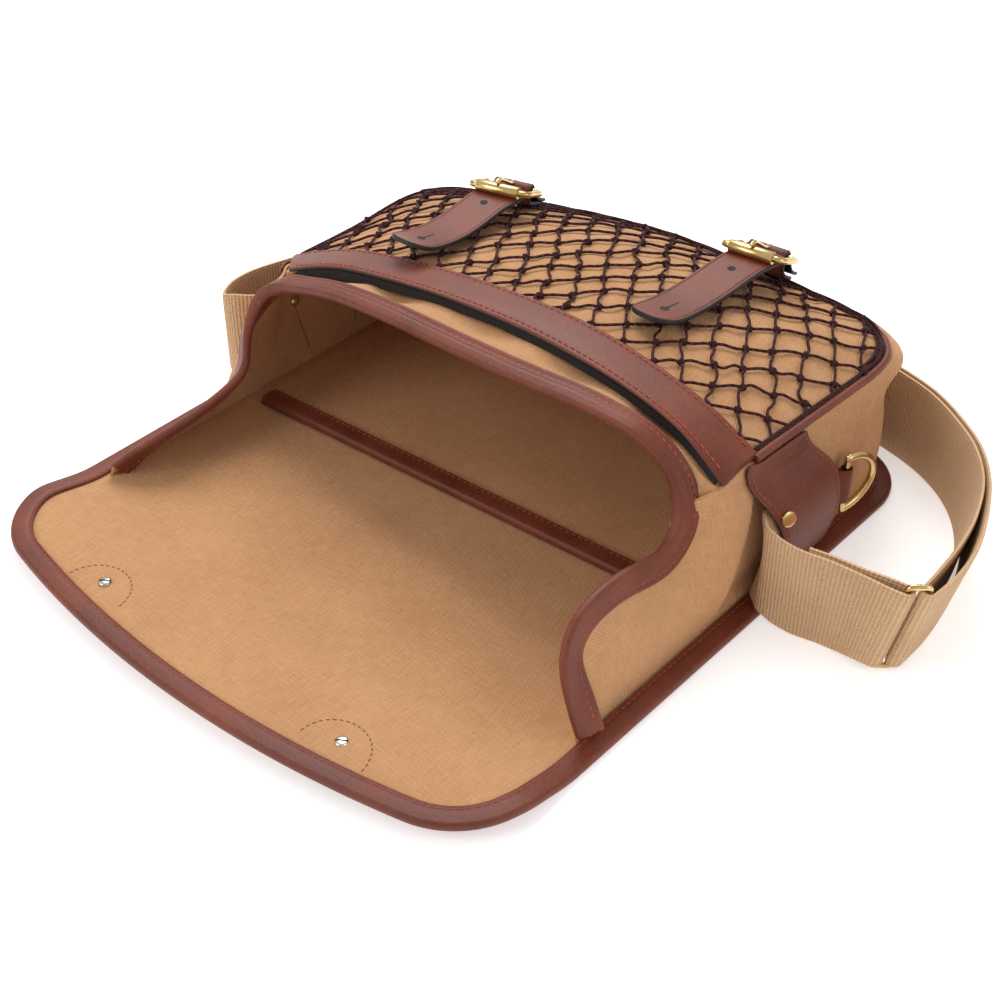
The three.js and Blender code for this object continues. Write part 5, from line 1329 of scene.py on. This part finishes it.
def build_buckle(side):
    """Keyhole strap, frame, roller, prong and chape of one buckle."""
    b = BUCKLES[side]
    x, (roller_y, roller_z), (hinge_y, hinge_z) = b["x"], b["roller"], b["hinge"]
    line = resample(np.array([(0, y, z) for y, z in b["strap"]], float), 90)
    tip = b["strap"][0][0]
    line[:, 0] = x + b["turn"] * (line[:, 1] - roller_y) / (roller_y - tip)
    back = line[:, 1] - tip
    share = np.interp(back, [0, 0.6, 2, 5, 9, 12], [0.3, 0.45, 0.66, 0.88, 0.98, 1])
    ahead = unit(np.gradient(line, axis=0))
    across = np.broadcast_to([1.0, 0, 0], line.shape)
    up = unit(np.cross(across, ahead))
    profile = strap_profile(STRAP_HALF, STRAP_THICK)
    profiles = np.broadcast_to(profile, (len(line),) + profile.shape).copy()
    profiles[..., 0] *= share[:, None]
    number = len(profile)
    marks = np.zeros(number, int)
    marks[:3] = marks[number // 2 - 4:] = 1
    mesh = Mesh()
    mesh.sweep(line, across, up, profiles, finish=marks[None, :])

    def on_strap(away, sideways):
        """Points on the strap's top: away from the tip and sideways from its middle line."""
        places = at_distance(line, away)
        top = read_along(up, distances(line), away)
        return places + sideways[:, None] * [1.0, 0, 0] + top * (STRAP_THICK / 2 + 0.06)

    turn = np.linspace(0, 2 * np.pi, 24, endpoint=False)
    # Keyholes: dark discs and a slit laid on the strap's top, painted shade where the holes would be.
    for middle, radius in ((16.0, 2.3), (68.0, 2.1)):
        sizes = radius * np.array([0.02, 0.6, 1.0])
        grid = np.stack([on_strap(middle + size * np.sin(turn), size * np.cos(turn)) for size in sizes])
        disc = np.concatenate([grid - [0, 0, 0.3], grid[::-1] + [0, 0, 0.02]])
        mesh.skin(disc, ring=True, capped=True, finish=2)
    run = np.linspace(17.5, 27.0, 20)
    wide = np.interp(run, [17.5, 20, 27], [0.9, 0.5, 0.35])
    slit = np.stack([on_strap(run, wide * share) for share in (-1, 1)], 1)
    mesh.slab(slit + [0, 0, 0.02], slit - [0, 0, 0.3], finish=2)
    leather(f"keyhole_strap_{side}", mesh, EDGE_MAT, PAINTED_SHADE_MAT)

    along = np.array([0, roller_y - hinge_y, roller_z - hinge_z], float)
    half_length = np.linalg.norm(along) / 2
    centre = np.array([x, (roller_y + hinge_y) / 2, (roller_z + hinge_z) / 2])
    along = unit(along)
    outline = rounded_loop(FRAME_HALF, half_length, FRAME_CORNER, 10)
    yaw = np.radians(b["yaw"])
    spin = np.array([[np.cos(yaw), np.sin(yaw), 0], [-np.sin(yaw), np.cos(yaw), 0], [0, 0, 1]])
    hub = np.array([x, roller_y, 0])

    def yawed(mesh):
        """The piece turned about an upright line through the roller."""
        mesh.points = [(points - hub) @ spin + hub for points in mesh.points]
        return mesh

    mesh = Mesh()
    path = centre + outline[:, :1] * [1.0, 0, 0] + outline[:, 1:] * along
    mesh.tube(path, FRAME_WIRE, 16, loop=True, plane=np.cross([1.0, 0, 0], along))
    brass(f"buckle_frame_{side}", yawed(mesh))
    mesh = Mesh()
    wall = [(2.0, -11.9), (3.0, -12), (3.3, -11.6), (3.3, 11.6), (3.0, 12), (2.0, 11.9)]
    mesh.lathe(wall, (x, roller_y, roller_z), (1, 0, 0))
    brass(f"buckle_roller_{side}", yawed(mesh), sharp=50)
    reach = 2.9
    route = np.array([
        (hinge_y + reach, hinge_z),
        (hinge_y + 0.5 * reach, hinge_z + 0.95 * reach),
        (hinge_y - 4, hinge_z + reach + 1.2),
        (hinge_y + 0.6 * (roller_y - hinge_y), hinge_z + 0.6 * (roller_z - hinge_z) + 4.4),
        (roller_y + 2, roller_z + 4.6), (roller_y - 2.5, roller_z + 4.7),
    ])
    route = resample(stack(x, *route.T), 40)
    taper = np.interp(np.linspace(0, 1, 40), [0, 0.9, 0.97, 1], [1.2, 1.15, 0.9, 0.4])
    mesh = Mesh()
    mesh.tube(route, taper, 12, plane=(1, 0, 0))
    brass(f"buckle_prong_{side}", yawed(mesh))

    turn = np.radians(np.linspace(-15, 180, 24))
    wrap = (FRAME_WIRE + GAP + CHAPE_THICK / 2) * stack(np.cos(turn), np.sin(turn))
    fold = np.concatenate([b["upper"], b["hinge"] + wrap, b["lower"]])
    line = resample(stack(x, *fold.T), 110)
    ahead = unit(np.gradient(line, axis=0))
    across = np.broadcast_to([1.0, 0, 0], line.shape)
    mesh = Mesh()
    profile = strap_profile(CHAPE_HALF, CHAPE_THICK)
    marks = np.ones(len(profile), int)
    marks[len(profile) // 2 + 4:-4] = 0
    mesh.sweep(line, across, unit(np.cross(across, ahead)), profile, finish=marks[None, :])
    leather(f"buckle_chape_{side}", yawed(mesh), EDGE_MAT)


# Studs, screws and inner pocket

PATCH_RADIUS, PATCH_THICK, PATCH_EDGE = 20.5, 1.6, -206


def build_stud(side):
    """Half-round patch, turned knob, slotted screw and the patch's row of thread."""
    x, under = SIGN[side] * STUD_X, EDGE_LIFT + STUD_RISE
    patch_under = under - GAP - PATCH_THICK
    turn = np.linspace(0, np.pi, 60)
    shrink = np.array([0.02, 0.3, 0.6, 0.9, 0.97, 1.0])
    radius = PATCH_RADIUS * shrink
    ring = stack(x + radius * np.cos(turn)[:, None], PATCH_EDGE + radius * np.sin(turn)[:, None], 0)
    mesh = Mesh()
    rounded = np.array([0, 0, 0, 0, 0.2, 0.6])
    mesh.slab(ring + stack(0, 0, patch_under + rounded), ring + [0, 0, patch_under + PATCH_THICK])
    leather(f"stud_patch_{side}", mesh)
    top = patch_under - GAP
    mesh = Mesh()
    knob = [
        (0.05, 0), (1.6, 0.08), (2.6, 0.4), (3.3, 1.0), (3.6, 1.8),
        (3.4, 2.6), (2.9, 3.2), (2.1, 3.7), (1.9, 4.1),
    ]
    foot = [(2, top - 1), (5, top - 0.8), (5, top - 0.1), (0.05, top)]
    mesh.lathe(knob + foot, (x, STUD_Y, 0), (0, 0, 1))
    brass(f"stud_{side}", mesh, sharp=50)
    above = under + CANVAS + GAP
    mesh = Mesh()
    head = [(0.05, 0), (3.2, 0), (3.2, 0.5), (2.9, 1.1), (2.2, 1.4), (0.05, 1.45)]
    mesh.lathe(head, (x, STUD_Y, above), (0, 0, 1))
    # The screw's slot: a dark bar set in the head, painted shade for the slot's depth.
    aim = np.radians(35)
    line = np.linspace(-2.7, 2.7, 6)
    path = stack(x + line * np.cos(aim), STUD_Y + line * np.sin(aim), above + 1.3)
    flat = np.array([(-0.45, 0.2), (0.45, 0.2), (0.45, -0.3), (-0.45, -0.3)])
    side_way = np.broadcast_to([-np.sin(aim), np.cos(aim), 0], path.shape)
    mesh.sweep(path, side_way, np.broadcast_to([0, 0, 1.0], path.shape), flat, finish=1)
    screw = f"stud_screw_{side}"
    make(f"{screw}_nickel", mesh, [NICKEL_MAT, PAINTED_SHADE_MAT], [screw], sharp=50)
    turn = np.linspace(0.02, np.pi - 0.02, 90)
    radius = PATCH_RADIUS - 2.2
    px, py = x + radius * np.cos(turn), PATCH_EDGE + radius * np.sin(turn)
    row = stack(px, py, sheet_top(px, py))
    mesh = Mesh()
    stitches(mesh, row, [0.0, 0, 1], pitch=3.0, length=2.2, radius=0.3, lift=0.05)
    make(f"stud_thread_{side}", mesh, [DULL_THREAD_MAT])


def build_inner_pocket():
    """Canvas: a flat panel with a low billow, its slanting mouth bound in leather."""
    half, mouth, far, under, thick = 143, -34, 112, 3.5, 1.4
    x = np.linspace(-half, half, 70)
    y = np.linspace(mouth, far, 50)[:, None] + 8 * x / half * np.linspace(1, 0, 50)[:, None]
    billow = 1.2 * hump(x, 10, 90) * hump(y, 25, 40) + 0.2 * np.sin(x / 19 + y / 27)
    billow = billow * ease(y, mouth + 4, mouth + 22) * ease(half - np.abs(x), 2, 20)
    top = stack(x + 0 * y, y + 0 * x, under + thick + billow)
    mesh = Mesh()
    mesh.slab(top, top - [0, 0, thick], top[..., :2] / 10)
    canvas("inner_pocket", mesh)
    x = np.linspace(-138, 134, 120)
    edge = stack(x, mouth + 8 * x / half, under + thick / 2 + 0.9)
    inward, up = np.broadcast_to([0.0, 1, 0], edge.shape), np.broadcast_to([0.0, 0, 1], edge.shape)
    mesh = Mesh()
    wall, stitch = 1.7, INNER_WIDTH - ROW_INSET
    mesh.sweep(edge, inward, up, binding_ring(INNER_WIDTH, stitch, cloth=thick, leather=wall, roll=0.3))
    leather("inner_pocket_binding", mesh)
    mesh = Mesh()
    stitches(mesh, edge + inward * stitch + up * (thick / 2 + GAP + wall - 0.3), up)
    make("inner_pocket_thread", mesh, [THREAD_MAT])


# The studio

def build_studio():
    """Pale floor, white surroundings, three soft lamps and the camera at the photograph's angle."""
    floor = bpy.data.meshes.new("floor")
    corners = 4.0 * np.array([(-1, -1, 0), (1, -1, 0), (1, 1, 0), (-1, 1, 0)])
    floor.from_pydata(corners, [], [(0, 1, 2, 3)])
    glow = {"Emission_Color": (1, 1, 1, 1), "Emission_Strength": 0.42}
    floor.materials.append(Finish("floor", Base_Color=(0.9, 0.9, 0.9, 1), Roughness=1.0, **glow).material)
    plane = bpy.data.objects.new("floor", floor)
    bpy.context.scene.collection.objects.link(plane)

    world = bpy.data.worlds.new("studio")
    bpy.context.scene.world = world
    world.use_nodes = True
    background = world.node_tree.nodes["Background"]
    background.inputs["Color"].default_value = (1, 1, 1, 1)
    background.inputs["Strength"].default_value = 0.62

    def lamp(name, place, aim, size, power):
        """A round soft light at a place, turned to a point."""
        light = bpy.data.lights.new(name, "AREA")
        light.shape, light.size, light.energy = "DISK", size, power
        holder = bpy.data.objects.new(name, light)
        holder.location = place
        holder.rotation_mode = "QUATERNION"
        holder.rotation_quaternion = (Vector(aim) - Vector(place)).to_track_quat("-Z", "Y")
        bpy.context.scene.collection.objects.link(holder)

    lamp("key", (-0.65, 0.72, 1.25), (0, 0, 0.05), 1.1, 19)
    lamp("fill", (1.4, 0.2, 0.85), (0.05, 0, 0.05), 1.0, 4.2)
    lamp("front", (-0.5, -1.2, 0.8), (0, 0, 0.03), 0.8, 6)

    azimuth, elevation, distance = np.radians(41.0), np.radians(38.4), 0.893
    target = Vector((0.0125, -0.019, 0.0))
    level = np.cos(elevation)
    back = Vector((np.sin(azimuth) * level, -np.cos(azimuth) * level, np.sin(elevation)))
    camera = bpy.data.cameras.new("camera")
    camera.lens, camera.sensor_width = 63, 36
    camera.clip_start, camera.clip_end = 0.01, 50
    holder = bpy.data.objects.new("camera", camera)
    holder.location = target + back * distance
    holder.rotation_mode = "QUATERNION"
    holder.rotation_quaternion = (-back).to_track_quat("-Z", "Y")
    bpy.context.scene.collection.objects.link(holder)
    bpy.context.scene.camera = holder
    bpy.context.scene.view_settings.view_transform = "Standard"
    bpy.context.scene.view_settings.look = "None"


build_sheet()
build_front_panel()
build_pocket_panel()
build_band()
build_tape()
build_gusset()
build_rim()
build_net()
build_strap()
build_inner_pocket()
for wing in SIGN:
    build_tab(wing)
    build_buckle(wing)
    build_stud(wing)
slide_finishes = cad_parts["strap_slide"].data.materials
slide_finishes.clear()
slide_finishes.append(BRASS_MAT)
build_studio()
